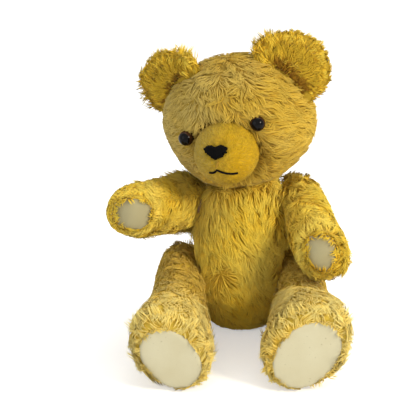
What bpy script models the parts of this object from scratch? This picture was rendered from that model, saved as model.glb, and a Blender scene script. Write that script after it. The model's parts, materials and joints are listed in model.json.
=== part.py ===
# A threadbare teddy bear: plush head, torso, arms and legs that turn on five disc joints.
# Metres, +Z up. The bear sits on the floor at z = 0 and faces -Y.

import math

import bmesh
import bpy
from mathutils import Matrix, Vector

# Clearance between pieces that touch
GAP = 0.0003

# Torso: half widths and half depths of its rings, from the seat up
TORSO_HEIGHT = 0.132
SEAT_OVERRUN = 0.0132
SEAT_TAPER = 0.6
SEAT_HALF_WIDTH = 0.028
SEAT_HALF_DEPTH = 0.030
HIP_HALF_WIDTH = 0.045
HIP_HALF_DEPTH = 0.044
BELLY_HALF_WIDTH = 0.050
BELLY_HALF_DEPTH = 0.048
BELLY_HEIGHT = 0.064
CHEST_HALF_WIDTH = 0.041
CHEST_HALF_DEPTH = 0.040
COLLAR_HALF_WIDTH = 0.032
COLLAR_HALF_DEPTH = 0.031
COLLAR_OVERRUN = 0.0185
COLLAR_TAPER = 0.7

# Head, held by the neck joint on top of the torso
NECK_OFFSET = 0.003
NECK_LEAN_SIDE = math.radians(9)
NECK_LEAN_BACK = math.radians(4)
HEAD_TURN = math.radians(13.5)
HEAD_ROLL = math.radians(6)
HEAD_NOD = math.radians(4)
HEAD_WIDTH = 0.133
HEAD_DEPTH = 0.116
HEAD_HEIGHT = 0.116
NECK_FLAT_DEPTH = 0.003

# Ears
EAR_WIDTH = 0.070
EAR_HEIGHT = 0.067
EAR_THICKNESS = 0.012
EAR_CUP = 0.010
EAR_SETBACK = 0.004
LINING_WIDTH = 0.044
LINING_HEIGHT = 0.038
LINING_DROP = 0.003
LINING_DEPTH = 0.002
LINING_PROUD = 0.0006

# Face
MUZZLE_WIDTH = 0.055
MUZZLE_HEIGHT = 0.055
MUZZLE_REACH = 0.024
MUZZLE_DEPTH = 0.064
MUZZLE_DROP = 0.010
NOSE_WIDTH = 0.021
NOSE_HEIGHT = 0.0125
NOSE_LIFT = 0.0105
NOSE_DEPTH = 0.004
NOSE_PROUD = 0.0014
THREAD_RADIUS = 0.0009
LIP_RIGHT_REACH = 0.011
LIP_RIGHT_DROP = 0.0066
LIP_MIDDLE_REACH = 0.0034
LIP_MIDDLE_DROP = 0.0049
LIP_LEFT_REACH = 0.0114
LIP_LEFT_DROP = 0.0129
LIP_SAG = 0.0012
LIP_STEPS = 4
EYE_RADIUS = 0.0066
EYE_SPREAD = math.radians(33.5)
EYE_LIFT = math.radians(8)
EYE_SINK = 0.0015

# Arms: lengths from the shoulder joint, half widths of their rings
SHOULDER_DROP = 0.024
SHOULDER_HALF_SPAN = 0.036
SHOULDER_TILT = math.radians(5)
ARM_TOP = 0.0245
ARM_LENGTH = 0.095
ARM_ROOT_HALF_WIDTH = 0.0245
ARM_ROOT_HALF_THICKNESS = 0.0225
ARM_ROOT_OFFSET = 0.017
ARM_FACE_RADIUS = 0.040
FOREARM_HALF_WIDTH = 0.023
FOREARM_HALF_THICKNESS = 0.0225
PAW_HALF_WIDTH = 0.0225
PAW_HALF_THICKNESS = 0.022
PAW_PAD_LENGTH = 0.035
PAW_PAD_WIDTH = 0.028
PAW_PAD_SETBACK = 0.0185
PAW_PAD_TILT = math.radians(45)

# Legs: lengths from the hip joint, half widths of their rings
HIP_HEIGHT = 0.0355
HIP_SETBACK = 0.005
HIP_HALF_SPAN = 0.034
LEG_TOP = 0.0345
LEG_LENGTH = 0.152
THIGH_HALF_WIDTH = 0.0335
THIGH_HALF_THICKNESS = 0.0245
THIGH_OFFSET = 0.019
LEG_FACE_RADIUS = 0.050
KNEE_HALF_WIDTH = 0.032
KNEE_HALF_THICKNESS = 0.0235
ANKLE_HALF_WIDTH = 0.028
ANKLE_HALF_THICKNESS = 0.026
FOOT_HALF_LENGTH = 0.042
FOOT_HALF_WIDTH = 0.032
TOE_OUT = math.radians(40)
SOLE_PAD_LENGTH = 0.064
SOLE_PAD_WIDTH = 0.047
SOLE_PAD_DROP = 0.006
PAD_THICKNESS = 0.003
PAD_PROUD = 0.001
PAD_EDGE = 0.0008

# Where the rings of a limb lie, as shares of its length, and how far its ends draw in
UPPER_ARM_AT = 0.22
FOREARM_AT = 0.60
PAW_AT = 0.88
ARM_END_AT = 1.02
KNEE_AT = 0.22
ANKLE_AT = 0.58
HEEL_AT = 0.84
SOLE_AT = 1.05
LEG_END_AT = 1.14
LIMB_END_TAPER = 0.62

# Disc joints
CLOTH = 0.0015
BOARD_THICKNESS = 0.002
WASHER_THICKNESS = 0.001
WASHER_RADIUS = 0.0055
PIN_RADIUS = 0.0011
PIN_EYE_RADIUS = 0.0034
NECK_DISC_RADIUS = 0.018
SHOULDER_DISC_RADIUS = 0.013
HIP_DISC_RADIUS = 0.018
SHOULDER_CLEARANCE = 0.002
HIP_CLEARANCE = 0.010
PIN_CLEARANCE = 0.002

# How each side of the bear sits: its right side is at -X
SIDES = {
    "right": {
        "outward": -1,
        "front": 1,
        "ear_spread": math.radians(43),
        "ear_root": 0.033,
        "ear_turn": math.radians(-20),
        "foot_share": 0.94,
        "shoulder_swing": math.radians(22),
        "arm_raise": math.radians(101),
        "arm_lean": math.radians(14),
        "palm_turn": math.radians(5),
        "leg_raise": math.radians(90.3),
        "leg_lean": math.radians(2.9),
    },
    "left": {
        "outward": 1,
        "front": -1,
        "ear_spread": math.radians(60),
        "ear_root": 0.023,
        "ear_turn": 0,
        "foot_share": 1.04,
        "shoulder_swing": math.radians(6),
        "arm_raise": math.radians(76),
        "arm_lean": math.radians(4.5),
        "palm_turn": math.radians(68),
        "leg_raise": math.radians(91.5),
        "leg_lean": math.radians(-1),
    },
}

# Fineness of the shapes
RING_POINTS = 6
SMOOTHING = 2
TURNED_STEPS = 14
OVAL_STEPS = 20


def empty_scene():
    for item in list(bpy.data.objects):
        bpy.data.objects.remove(item, do_unlink=True)


empty_scene()
parts = bpy.data.collections.new("threadbare_teddy_bear")
cutters = bpy.data.collections.new("cutters")
for group in (parts, cutters):
    bpy.context.scene.collection.children.link(group)


def finish(name, colour, roughness, metallic=0.0):
    material = bpy.data.materials.new(name)
    material.use_nodes = True
    shader = material.node_tree.nodes["Principled BSDF"]
    shader.inputs["Base Color"].default_value = (*colour, 1.0)
    shader.inputs["Roughness"].default_value = roughness
    shader.inputs["Metallic"].default_value = metallic
    return material


PLUSH = finish("golden_plush", (0.52, 0.34, 0.06), 0.95)
FADED_PLUSH = finish("faded_plush", (0.50, 0.36, 0.11), 0.95)
SHORT_PILE = finish("short_pile", (0.50, 0.35, 0.07), 0.9)
BROWN_CLOTH = finish("brown_cloth", (0.20, 0.10, 0.02), 0.9)
CREAM_CLOTH = finish("cream_cloth", (0.66, 0.60, 0.42), 0.8)
BLACK_THREAD = finish("black_thread", (0.012, 0.011, 0.010), 0.6)
DARK_GLASS = finish("dark_glass", (0.035, 0.016, 0.008), 0.1)
BOARD = finish("board", (0.30, 0.20, 0.11), 0.85)
STEEL = finish("steel", (0.52, 0.52, 0.50), 0.4, 1.0)


def hide_as_cutter(item):
    item.hide_render = True
    item.display_type = "WIRE"


def add_object(name, mesh, material, parent, local, cutter=False):
    item = bpy.data.objects.new(name, mesh)
    if cutter:
        cutters.objects.link(item)
        hide_as_cutter(item)
    else:
        parts.objects.link(item)
        mesh.materials.append(material)
    item.parent = parent
    item.matrix_basis = local
    return item


def mesh_from(name, form, smooth=True):
    bmesh.ops.recalc_face_normals(form, faces=form.faces)
    for face in form.faces:
        face.smooth = smooth
    mesh = bpy.data.meshes.new(name)
    form.to_mesh(mesh)
    form.free()
    return mesh


def boolean(target, cutter, operation="DIFFERENCE"):
    modifier = target.modifiers.new(operation.lower() + "_" + cutter.name, "BOOLEAN")
    modifier.operation = operation
    modifier.solver = "EXACT"
    modifier.object = cutter


def smooth_by_subdivision(item, levels=SMOOTHING):
    modifier = item.modifiers.new("soft_form", "SUBSURF")
    modifier.levels = levels
    modifier.render_levels = levels


def pivot(name, point, axis, upright):
    """An empty on a joint, its X along the joint's axis and its Z as near upright as can be."""
    x = axis.normalized()
    z = (upright - x * upright.dot(x)).normalized()
    y = z.cross(x)
    item = bpy.data.objects.new(name, None)
    parts.objects.link(item)
    item.matrix_basis = Matrix.Translation(point) @ Matrix((x, y, z)).transposed().to_4x4()
    return item


def ring_form(rings):
    """A closed cage through elliptic rings, each (centre, long half axis, short half axis)."""
    form = bmesh.new()
    shrink = (2 + math.cos(2 * math.pi / RING_POINTS)) / 3
    loops = []
    for centre, long_half, short_half in rings:
        loop = []
        for step in range(RING_POINTS):
            angle = 2 * math.pi * step / RING_POINTS
            spoke = long_half * math.cos(angle) + short_half * math.sin(angle)
            loop.append(form.verts.new(centre + spoke / shrink))
        loops.append(loop)
    for low, high in zip(loops, loops[1:]):
        for step in range(RING_POINTS):
            after = (step + 1) % RING_POINTS
            form.faces.new((low[step], low[after], high[after], high[step]))
    form.faces.new(loops[0])
    form.faces.new(loops[-1])
    return form


def ball(name, half_sizes, material, parent, local, segments, rings, cutter=False):
    form = bmesh.new()
    bmesh.ops.create_uvsphere(form, u_segments=segments, v_segments=rings, radius=1.0)
    bmesh.ops.scale(form, vec=half_sizes, verts=form.verts)
    return add_object(name, mesh_from(name, form), material, parent, local, cutter)


def oval_block(name, half_length, half_width, low, high, parent, local, material=None):
    """An elliptic block along Z: a piece of that material, or a cutter where it has none."""
    form = bmesh.new()
    bmesh.ops.create_cone(
        form,
        cap_ends=True,
        segments=OVAL_STEPS,
        radius1=1.0,
        radius2=1.0,
        depth=high - low,
    )
    bmesh.ops.scale(form, vec=(half_length, half_width, 1.0), verts=form.verts)
    bmesh.ops.translate(form, vec=(0, 0, (low + high) / 2), verts=form.verts)
    mesh = mesh_from(name, form, False)
    return add_object(name, mesh, material, parent, local, material is None)


def box_cutter(name, low, high, parent, local):
    form = bmesh.new()
    bmesh.ops.create_cube(form, size=1.0)
    size = Vector(high) - Vector(low)
    bmesh.ops.scale(form, vec=size, verts=form.verts)
    bmesh.ops.translate(form, vec=(Vector(low) + Vector(high)) / 2, verts=form.verts)
    return add_object(name, mesh_from(name, form, False), None, parent, local, True)


def turned(name, profile, material, parent, local, cutter=False, steps=TURNED_STEPS):
    """A profile of (radius, height) points turned about local Z, listed down its outer side."""
    form = bmesh.new()
    points = [form.verts.new((radius, 0, height)) for radius, height in profile]
    for first, second in zip(points, points[1:]):
        form.edges.new((first, second))
    if profile[0][0] > 0:
        form.edges.new((points[-1], points[0]))
    mesh = bpy.data.meshes.new(name)
    form.to_mesh(mesh)
    form.free()
    item = add_object(name, mesh, material, parent, local, cutter)
    screw = item.modifiers.new("turn", "SCREW")
    screw.steps = steps
    screw.render_steps = steps
    screw.use_merge_vertices = True
    screw.merge_threshold = 0.00001
    return item


def solid_from_curve(name, curve, material, parent, local, cutter=False):
    drawn = bpy.data.objects.new(name + "_drawn", curve)
    parts.objects.link(drawn)
    bpy.context.view_layer.update()
    depsgraph = bpy.context.evaluated_depsgraph_get()
    mesh = bpy.data.meshes.new_from_object(drawn.evaluated_get(depsgraph))
    bpy.data.objects.remove(drawn, do_unlink=True)
    mesh.materials.clear()
    form = bmesh.new()
    form.from_mesh(mesh)
    bmesh.ops.remove_doubles(form, verts=form.verts, dist=0.000005)
    bpy.data.meshes.remove(mesh)
    return add_object(name, mesh_from(name, form), material, parent, local, cutter)


def wire_form(name, points, radius, material, parent, local, cutter=False):
    curve = bpy.data.curves.new(name, "CURVE")
    curve.dimensions = "3D"
    curve.bevel_depth = radius
    curve.bevel_resolution = 2
    curve.use_fill_caps = True
    spline = curve.splines.new("POLY")
    spline.points.add(len(points) - 1)
    for spot, point in zip(spline.points, points):
        spot.co = (*point, 1.0)
    return solid_from_curve(name, curve, material, parent, local, cutter)


def outline_form(name, points, half_thickness, material, parent, local, cutter=False):
    curve = bpy.data.curves.new(name, "CURVE")
    curve.dimensions = "2D"
    curve.fill_mode = "BOTH"
    curve.extrude = half_thickness
    spline = curve.splines.new("POLY")
    spline.use_cyclic_u = True
    spline.points.add(len(points) - 1)
    for spot, point in zip(spline.points, points):
        spot.co = (point[0], point[1], 0.0, 1.0)
    return solid_from_curve(name, curve, material, parent, local, cutter)


# Joint points and axes
NECK_POINT = Vector((NECK_OFFSET, 0, TORSO_HEIGHT))
neck_frame = Matrix.Rotation(-NECK_LEAN_SIDE, 4, "Y") @ Matrix.Rotation(-NECK_LEAN_BACK, 4, "X")
NECK_AXIS = neck_frame.to_3x3() @ Vector((0, 0, 1))
neck_pivot = pivot("neck_pivot", NECK_POINT, NECK_AXIS, Vector((0, 1, 0)))


def shoulder_axis(side):
    swing = side["shoulder_swing"]
    level = math.cos(SHOULDER_TILT)
    return Vector(
        (side["outward"] * math.cos(swing) * level, math.sin(swing) * level, math.sin(SHOULDER_TILT))
    )


for side_name, side in SIDES.items():
    shoulder_point = Vector((side["outward"] * SHOULDER_HALF_SPAN, 0, TORSO_HEIGHT - SHOULDER_DROP))
    hip_point = Vector((side["outward"] * HIP_HALF_SPAN, HIP_SETBACK, HIP_HEIGHT))
    side["shoulder"] = pivot(
        "shoulder_pivot_" + side_name, shoulder_point, shoulder_axis(side), Vector((0, 0, 1))
    )
    side["hip"] = pivot(
        "hip_pivot_" + side_name, hip_point, Vector((side["outward"], 0, 0)), Vector((0, 0, 1))
    )

# Local Z turned onto a pivot's X, for pieces turned about the joint's axis
ALONG_AXIS = Matrix.Rotation(math.radians(90), 4, "Y")


def torso_rings():
    """Rings from below the floor, where the seat is cut flat, to above the neck."""
    across = Vector((1, 0, 0))
    back = Vector((0, 1, 0))
    heights = (
        (-SEAT_OVERRUN, SEAT_TAPER * SEAT_HALF_WIDTH, SEAT_TAPER * SEAT_HALF_DEPTH),
        (0, SEAT_HALF_WIDTH, SEAT_HALF_DEPTH),
        (0.40 * BELLY_HEIGHT, HIP_HALF_WIDTH, HIP_HALF_DEPTH),
        (BELLY_HEIGHT, BELLY_HALF_WIDTH, BELLY_HALF_DEPTH),
        (0.5 * (BELLY_HEIGHT + TORSO_HEIGHT), CHEST_HALF_WIDTH, CHEST_HALF_DEPTH),
        (TORSO_HEIGHT, COLLAR_HALF_WIDTH, COLLAR_HALF_DEPTH),
        (
            TORSO_HEIGHT + COLLAR_OVERRUN,
            COLLAR_TAPER * COLLAR_HALF_WIDTH,
            COLLAR_TAPER * COLLAR_HALF_DEPTH,
        ),
    )
    for height, half_width, half_depth in heights:
        yield Vector((0, 0, height)), across * half_width, back * half_depth


torso = add_object("torso", mesh_from("torso", ring_form(torso_rings())), PLUSH, None, Matrix())
smooth_by_subdivision(torso)
REACH = 4 * TORSO_HEIGHT
floor_cutter = box_cutter("floor_cutter", (-REACH, -REACH, -REACH), (REACH, REACH, 0), None, Matrix())
boolean(torso, floor_cutter)
neck_cutter = box_cutter(
    "neck_cutter", (0, -REACH, -REACH), (REACH, REACH, REACH), neck_pivot, Matrix()
)
boolean(torso, neck_cutter)


def seat_for_limb(name, joint, radius):
    """The flat round face in the torso's side that a limb turns against."""
    profile = ((0, REACH), (radius, REACH), (radius, 0), (0, 0))
    cutter = turned(name, profile, None, joint, ALONG_AXIS, True, 2 * TURNED_STEPS)
    boolean(torso, cutter)


for side_name, side in SIDES.items():
    seat_for_limb(
        "shoulder_seat_" + side_name,
        side["shoulder"],
        max(ARM_ROOT_HALF_WIDTH, ARM_TOP) + SHOULDER_CLEARANCE,
    )
    seat_for_limb(
        "hip_seat_" + side_name,
        side["hip"],
        max(THIGH_HALF_WIDTH, LEG_TOP) + HIP_CLEARANCE,
    )


def flat_against_torso(item, joint, radius):
    """The limb's flat round face, a gap away from the torso's."""
    profile = ((0, GAP), (radius, GAP), (radius, -REACH), (0, -REACH))
    cutter = turned(item.name + "_face", profile, None, joint, ALONG_AXIS, True)
    boolean(item, cutter)


def limb_frame(side, raised):
    """Local -Z runs along the limb, X points away from the torso."""
    return Matrix.Rotation(side["front"] * raised, 4, "X")


def limb_rings(stations, side, grow):
    """Rings across a limb. A station gives the way along, the offset outward, the half width from
    front to back, the half thickness, how far the ring turns and how far it slants."""
    for along, offset, half_width, half_thickness, turn, slant in stations:
        tilt = Matrix.Rotation(slant, 3, "Y")
        swing = Matrix.Rotation(-side["front"] * turn, 3, "Z")
        front = tilt @ swing @ Vector((0, side["front"], 0))
        outward = tilt @ swing @ Vector((1, 0, 0))
        centre = Vector((offset, 0, -along))
        yield centre, front * (half_width + grow), outward * (half_thickness + grow)


def arm_form(side, grow=0.0):
    lean = side["arm_lean"]

    def offset(share):
        return ARM_ROOT_OFFSET + math.tan(lean) * share * ARM_LENGTH

    root = (ARM_ROOT_HALF_WIDTH, ARM_ROOT_HALF_THICKNESS)
    root_end = (LIMB_END_TAPER * ARM_ROOT_HALF_WIDTH, LIMB_END_TAPER * ARM_ROOT_HALF_THICKNESS)
    forearm = (FOREARM_HALF_WIDTH, FOREARM_HALF_THICKNESS)
    paw = (PAW_HALF_WIDTH, PAW_HALF_THICKNESS)
    paw_end = (LIMB_END_TAPER * PAW_HALF_WIDTH, LIMB_END_TAPER * PAW_HALF_THICKNESS)
    stations = (
        (-ARM_TOP - grow, ARM_ROOT_OFFSET, *root_end, 0, 0),
        (-ARM_TOP / 2, ARM_ROOT_OFFSET, *root, 0, 0),
        (UPPER_ARM_AT * ARM_LENGTH, offset(UPPER_ARM_AT), *root, 0, -lean / 2),
        (FOREARM_AT * ARM_LENGTH, offset(FOREARM_AT), *forearm, 0, -lean),
        (PAW_AT * ARM_LENGTH, offset(PAW_AT), *paw, 0, -lean),
        (ARM_END_AT * ARM_LENGTH + grow, offset(ARM_END_AT), *paw_end, 0, -lean),
    )
    return ring_form(limb_rings(stations, side, grow))


def leg_form(side):
    lean = side["leg_lean"]
    share = side["foot_share"]

    def offset(along):
        return THIGH_OFFSET + math.tan(lean) * along * LEG_LENGTH

    thigh = (THIGH_HALF_WIDTH, THIGH_HALF_THICKNESS)
    thigh_end = (LIMB_END_TAPER * THIGH_HALF_WIDTH, LIMB_END_TAPER * THIGH_HALF_THICKNESS)
    knee = (KNEE_HALF_WIDTH, KNEE_HALF_THICKNESS)
    ankle = (ANKLE_HALF_WIDTH, ANKLE_HALF_THICKNESS)
    foot = (share * FOOT_HALF_LENGTH, share * FOOT_HALF_WIDTH)
    foot_end = (LIMB_END_TAPER * foot[0], LIMB_END_TAPER * foot[1])
    stations = (
        (-LEG_TOP, THIGH_OFFSET, *thigh_end, 0, 0),
        (-LEG_TOP / 2, THIGH_OFFSET, *thigh, 0, 0),
        (KNEE_AT * LEG_LENGTH, offset(KNEE_AT), *knee, 0, -lean),
        (ANKLE_AT * LEG_LENGTH, offset(ANKLE_AT), *ankle, TOE_OUT / 2, -lean),
        (HEEL_AT * LEG_LENGTH, offset(HEEL_AT), *foot, TOE_OUT, -lean),
        (SOLE_AT * LEG_LENGTH, offset(SOLE_AT), *foot, TOE_OUT, -lean),
        (LEG_END_AT * LEG_LENGTH, offset(LEG_END_AT), *foot_end, TOE_OUT, -lean),
    )
    return ring_form(limb_rings(stations, side, 0.0))


def make_arm(side_name, side):
    name = "arm_" + side_name
    frame = limb_frame(side, side["arm_raise"])
    arm = add_object(name, mesh_from(name, arm_form(side)), PLUSH, side["shoulder"], frame)
    smooth_by_subdivision(arm)
    flat_against_torso(arm, side["shoulder"], ARM_FACE_RADIUS)

    lean = side["arm_lean"]
    along = ARM_LENGTH - PAW_PAD_SETBACK
    middle = Vector((ARM_ROOT_OFFSET + math.tan(lean) * along, 0, -along))
    palm = (
        frame
        @ Matrix.Translation(middle)
        @ Matrix.Rotation(-lean, 4, "Y")
        @ Matrix.Rotation(side["front"] * side["palm_turn"], 4, "Z").inverted()
        @ Matrix.Rotation(math.radians(-90) - PAW_PAD_TILT, 4, "Y")
    )
    # Along Z here the palm faces out, and X runs along the arm
    half_length = PAW_PAD_LENGTH / 2
    half_width = PAW_PAD_WIDTH / 2
    radius = PAW_HALF_THICKNESS
    floor = math.sqrt(radius**2 - half_length**2) - PAD_THICKNESS
    top = 1.5 * radius
    pocket = oval_block(
        name + "_pad_pocket", half_length + GAP, half_width + GAP, floor - GAP, top, side["shoulder"], palm
    )
    boolean(arm, pocket)
    pad = oval_block(
        "paw_pad_" + side_name,
        half_length,
        half_width,
        floor,
        top,
        side["shoulder"],
        palm,
        CREAM_CLOTH,
    )
    swollen = add_object(
        name + "_swollen",
        mesh_from(name + "_swollen", arm_form(side, PAD_PROUD)),
        None,
        side["shoulder"],
        frame,
        True,
    )
    smooth_by_subdivision(swollen)
    boolean(pad, swollen, "INTERSECT")
    return arm


def make_leg(side_name, side):
    name = "leg_" + side_name
    frame = limb_frame(side, side["leg_raise"])
    leg = add_object(name, mesh_from(name, leg_form(side)), PLUSH, side["hip"], frame)
    smooth_by_subdivision(leg)
    flat_against_torso(leg, side["hip"], LEG_FACE_RADIUS)
    sole_cut = box_cutter(
        name + "_sole_cut", (-REACH, -REACH, -REACH), (REACH, REACH, -LEG_LENGTH), side["hip"], frame
    )
    boolean(leg, sole_cut)

    offset = THIGH_OFFSET + math.tan(side["leg_lean"]) * LEG_LENGTH
    # Along Z here the sole faces out, and X runs to the toes
    sole = (
        frame
        @ Matrix.Translation((offset, -side["front"] * SOLE_PAD_DROP, -LEG_LENGTH))
        @ Matrix.Rotation(-side["front"] * TOE_OUT, 4, "Z")
        @ Matrix.Rotation(side["front"] * math.radians(90), 4, "Z")
        @ Matrix.Rotation(math.radians(180), 4, "X")
    )
    half_length = side["foot_share"] * SOLE_PAD_LENGTH / 2
    half_width = side["foot_share"] * SOLE_PAD_WIDTH / 2
    pocket = oval_block(
        name + "_pad_pocket",
        half_length + GAP,
        half_width + GAP,
        -PAD_THICKNESS - GAP,
        PAD_THICKNESS,
        side["hip"],
        sole,
    )
    boolean(leg, pocket)
    pad = oval_block(
        "sole_pad_" + side_name,
        half_length,
        half_width,
        -PAD_THICKNESS,
        PAD_PROUD,
        side["hip"],
        sole,
        CREAM_CLOTH,
    )
    bevel = pad.modifiers.new("soft_edge", "BEVEL")
    bevel.width = PAD_EDGE
    bevel.segments = 1
    bevel.limit_method = "ANGLE"
    return leg


# Head and what is sewn to it, placed from the neck joint
head_frame = (
    neck_pivot.matrix_basis.inverted()
    @ Matrix.Translation(NECK_POINT)
    @ neck_frame
    @ Matrix.Rotation(-HEAD_TURN, 4, "Z")
    @ Matrix.Translation((0, 0, HEAD_HEIGHT / 2 - NECK_FLAT_DEPTH))
    @ Matrix.Rotation(-HEAD_ROLL, 4, "Y")
    @ Matrix.Rotation(HEAD_NOD, 4, "X")
)
HEAD_HALF = Vector((HEAD_WIDTH / 2, HEAD_DEPTH / 2, HEAD_HEIGHT / 2))
head = ball("head", HEAD_HALF, FADED_PLUSH, neck_pivot, head_frame, 24, 14)
chin_cutter = box_cutter(
    "chin_cutter", (-REACH, -REACH, -REACH), (GAP, REACH, REACH), neck_pivot, Matrix()
)
boolean(head, chin_cutter)


def reach_of_ellipsoid(half, direction):
    """How far the surface of an ellipsoid lies from its centre along a unit direction."""
    share = sum((component / size) ** 2 for component, size in zip(direction, half))
    return 1 / math.sqrt(share)


def add_muzzle():
    forward = HEAD_DEPTH / 2 + MUZZLE_REACH - MUZZLE_DEPTH / 2
    half = Vector((MUZZLE_WIDTH / 2, MUZZLE_DEPTH / 2, MUZZLE_HEIGHT / 2))
    local = head_frame @ Matrix.Translation((0, -forward, -MUZZLE_DROP))
    socket = ball("muzzle_socket", half + Vector((GAP, GAP, GAP)), None, neck_pivot, local, 20, 12, True)
    boolean(head, socket)
    return ball("muzzle", half, SHORT_PILE, neck_pivot, local, 20, 12), half, local


muzzle, muzzle_half, muzzle_frame = add_muzzle()


def on_muzzle(across, up):
    """The point of the muzzle's surface at a place of its front view."""
    share = 1 - (across / muzzle_half.x) ** 2 - (up / muzzle_half.z) ** 2
    return Vector((across, -muzzle_half.y * math.sqrt(share), up))


def nose_outline(grow):
    """Two low lobes above, tips at the sides, and drawn in below to a blunt foot."""
    half_width = NOSE_WIDTH / 2 + grow
    half_height = NOSE_HEIGHT / 2 + grow
    shares = ((0.20, 0.94), (0.45, 1.0), (0.70, 0.72), (0.95, 0.42), (1.0, 0.15))
    shares += ((0.80, -0.15), (0.64, -0.50), (0.46, -0.88), (0.20, -1.0))
    right = [(across * half_width, up * half_height) for across, up in shares]
    left = [(-across, up) for across, up in reversed(right)]
    return [(0, 0.80 * half_height), *right, *left]


def add_nose():
    spot = on_muzzle(0, NOSE_LIFT)
    slope = Vector((0, spot.y / muzzle_half.y**2, spot.z / muzzle_half.z**2)).normalized()
    tip_back = math.atan2(slope.z, -slope.y)
    local = (
        muzzle_frame
        @ Matrix.Translation(spot)
        @ Matrix.Rotation(-tip_back, 4, "X")
        @ Matrix.Rotation(math.radians(90), 4, "X")
    )
    sunk = Matrix.Translation((0, 0, 0.5 * (NOSE_PROUD + THREAD_RADIUS)))
    half_thickness = NOSE_DEPTH + NOSE_PROUD
    pocket = outline_form(
        "nose_pocket", nose_outline(GAP), half_thickness + GAP, None, neck_pivot, local @ sunk, True
    )
    boolean(muzzle, pocket)
    nose = outline_form(
        "nose", nose_outline(0), half_thickness, BLACK_THREAD, neck_pivot, local @ sunk
    )
    grown = muzzle_half + Vector((NOSE_PROUD, NOSE_PROUD, NOSE_PROUD))
    swollen = ball("muzzle_swollen", grown, None, neck_pivot, muzzle_frame, 20, 12, True)
    boolean(nose, swollen, "INTERSECT")


add_nose()


def add_mouth():
    """A crooked lip that peaks under the nose, and one stitch down to it along the seam."""
    middle = (-LIP_MIDDLE_REACH, -LIP_MIDDLE_DROP)
    ends = ((-LIP_RIGHT_REACH, -LIP_RIGHT_DROP), (LIP_LEFT_REACH, -LIP_LEFT_DROP))
    lip = []
    for start, end in ((ends[0], middle), (middle, ends[1])):
        for step in range(LIP_STEPS):
            share = step / LIP_STEPS
            sag = LIP_SAG * math.sin(math.pi * share)
            across = start[0] + share * (end[0] - start[0])
            up = start[1] + share * (end[1] - start[1])
            lip.append(on_muzzle(across, up - sag))
    lip.append(on_muzzle(*ends[1]))
    top = NOSE_LIFT - NOSE_HEIGHT / 2 - 2 * THREAD_RADIUS
    low = 3 * THREAD_RADIUS + middle[1]
    upright = []
    for step in range(LIP_STEPS + 1):
        share = step / LIP_STEPS
        upright.append(on_muzzle(share * middle[0], top + share * (low - top)))
    for name, points in (("lip_stitch", lip), ("mouth_stitch", upright)):
        bed = wire_form(
            name + "_bed", points, THREAD_RADIUS + GAP, None, neck_pivot, muzzle_frame, True
        )
        boolean(muzzle, bed)
        wire_form(name, points, THREAD_RADIUS, BLACK_THREAD, neck_pivot, muzzle_frame)


add_mouth()


def add_eye(side_name, side):
    azimuth = side["outward"] * EYE_SPREAD
    direction = Vector(
        (
            math.sin(azimuth) * math.cos(EYE_LIFT),
            -math.cos(azimuth) * math.cos(EYE_LIFT),
            math.sin(EYE_LIFT),
        )
    )
    middle = direction * (reach_of_ellipsoid(HEAD_HALF, direction) - EYE_SINK)
    local = head_frame @ Matrix.Translation(middle)
    grown = EYE_RADIUS + GAP
    socket = ball(
        "eye_socket_" + side_name, (grown, grown, grown), None, neck_pivot, local, 12, 8, True
    )
    boolean(head, socket)
    size = (EYE_RADIUS, EYE_RADIUS, EYE_RADIUS)
    ball("eye_" + side_name, size, DARK_GLASS, neck_pivot, local, 12, 8)


def ear_mesh(name, grow):
    """A thick oval disc, its rim cupped forward."""
    form = bmesh.new()
    bmesh.ops.create_uvsphere(form, u_segments=14, v_segments=8, radius=1.0)
    for vertex in form.verts:
        rim = vertex.co.x**2 + vertex.co.z**2
        vertex.co.x *= EAR_WIDTH / 2 + grow
        vertex.co.z *= EAR_HEIGHT / 2 + grow
        vertex.co.y = vertex.co.y * (EAR_THICKNESS / 2 + grow) - EAR_CUP * rim
    bmesh.ops.triangulate(form, faces=form.faces)
    return mesh_from(name, form)


head_swollen = ball(
    "head_swollen", HEAD_HALF + Vector((GAP, GAP, GAP)), None, neck_pivot, head_frame, 24, 14, True
)


def add_ear(side_name, side):
    lean = side["outward"] * side["ear_spread"]
    radial = Vector((math.sin(lean), 0, math.cos(lean)))
    reach = reach_of_ellipsoid(HEAD_HALF, radial) + EAR_HEIGHT / 2 - side["ear_root"]
    local = (
        head_frame
        @ Matrix.Translation(radial * reach + Vector((0, EAR_SETBACK, 0)))
        @ Matrix.Rotation(lean, 4, "Y")
        @ Matrix.Rotation(side["ear_turn"], 4, "Z")
    )
    name = "ear_" + side_name
    slot = add_object(name + "_slot", ear_mesh(name + "_slot", GAP), None, neck_pivot, local, True)
    boolean(head, slot)
    ear = add_object(name, ear_mesh(name, 0), PLUSH, neck_pivot, local)

    toward_face = (
        local @ Matrix.Translation((0, 0, -LINING_DROP)) @ Matrix.Rotation(math.radians(90), 4, "X")
    )
    floor = EAR_THICKNESS / 2 - LINING_DEPTH
    top = EAR_THICKNESS / 2 + EAR_CUP
    half_width = LINING_WIDTH / 2
    half_height = LINING_HEIGHT / 2
    pocket = oval_block(
        name + "_lining_pocket",
        half_width + GAP,
        half_height + GAP,
        floor - GAP,
        top,
        neck_pivot,
        toward_face,
    )
    boolean(ear, pocket)
    lining = oval_block(
        "ear_lining_" + side_name,
        half_width,
        half_height,
        floor,
        top,
        neck_pivot,
        toward_face,
        BROWN_CLOTH,
    )
    swollen = add_object(
        name + "_swollen", ear_mesh(name + "_swollen", LINING_PROUD), None, neck_pivot, local, True
    )
    boolean(lining, swollen, "INTERSECT")
    boolean(lining, head_swollen)


for side_name, side in SIDES.items():
    add_eye(side_name, side)
    add_ear(side_name, side)
    side["arm"] = make_arm(side_name, side)
    side["leg"] = make_leg(side_name, side)


def washer_profile(outer, inner, low, high):
    return ((outer, high), (outer, low), (inner, low), (inner, high))


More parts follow.
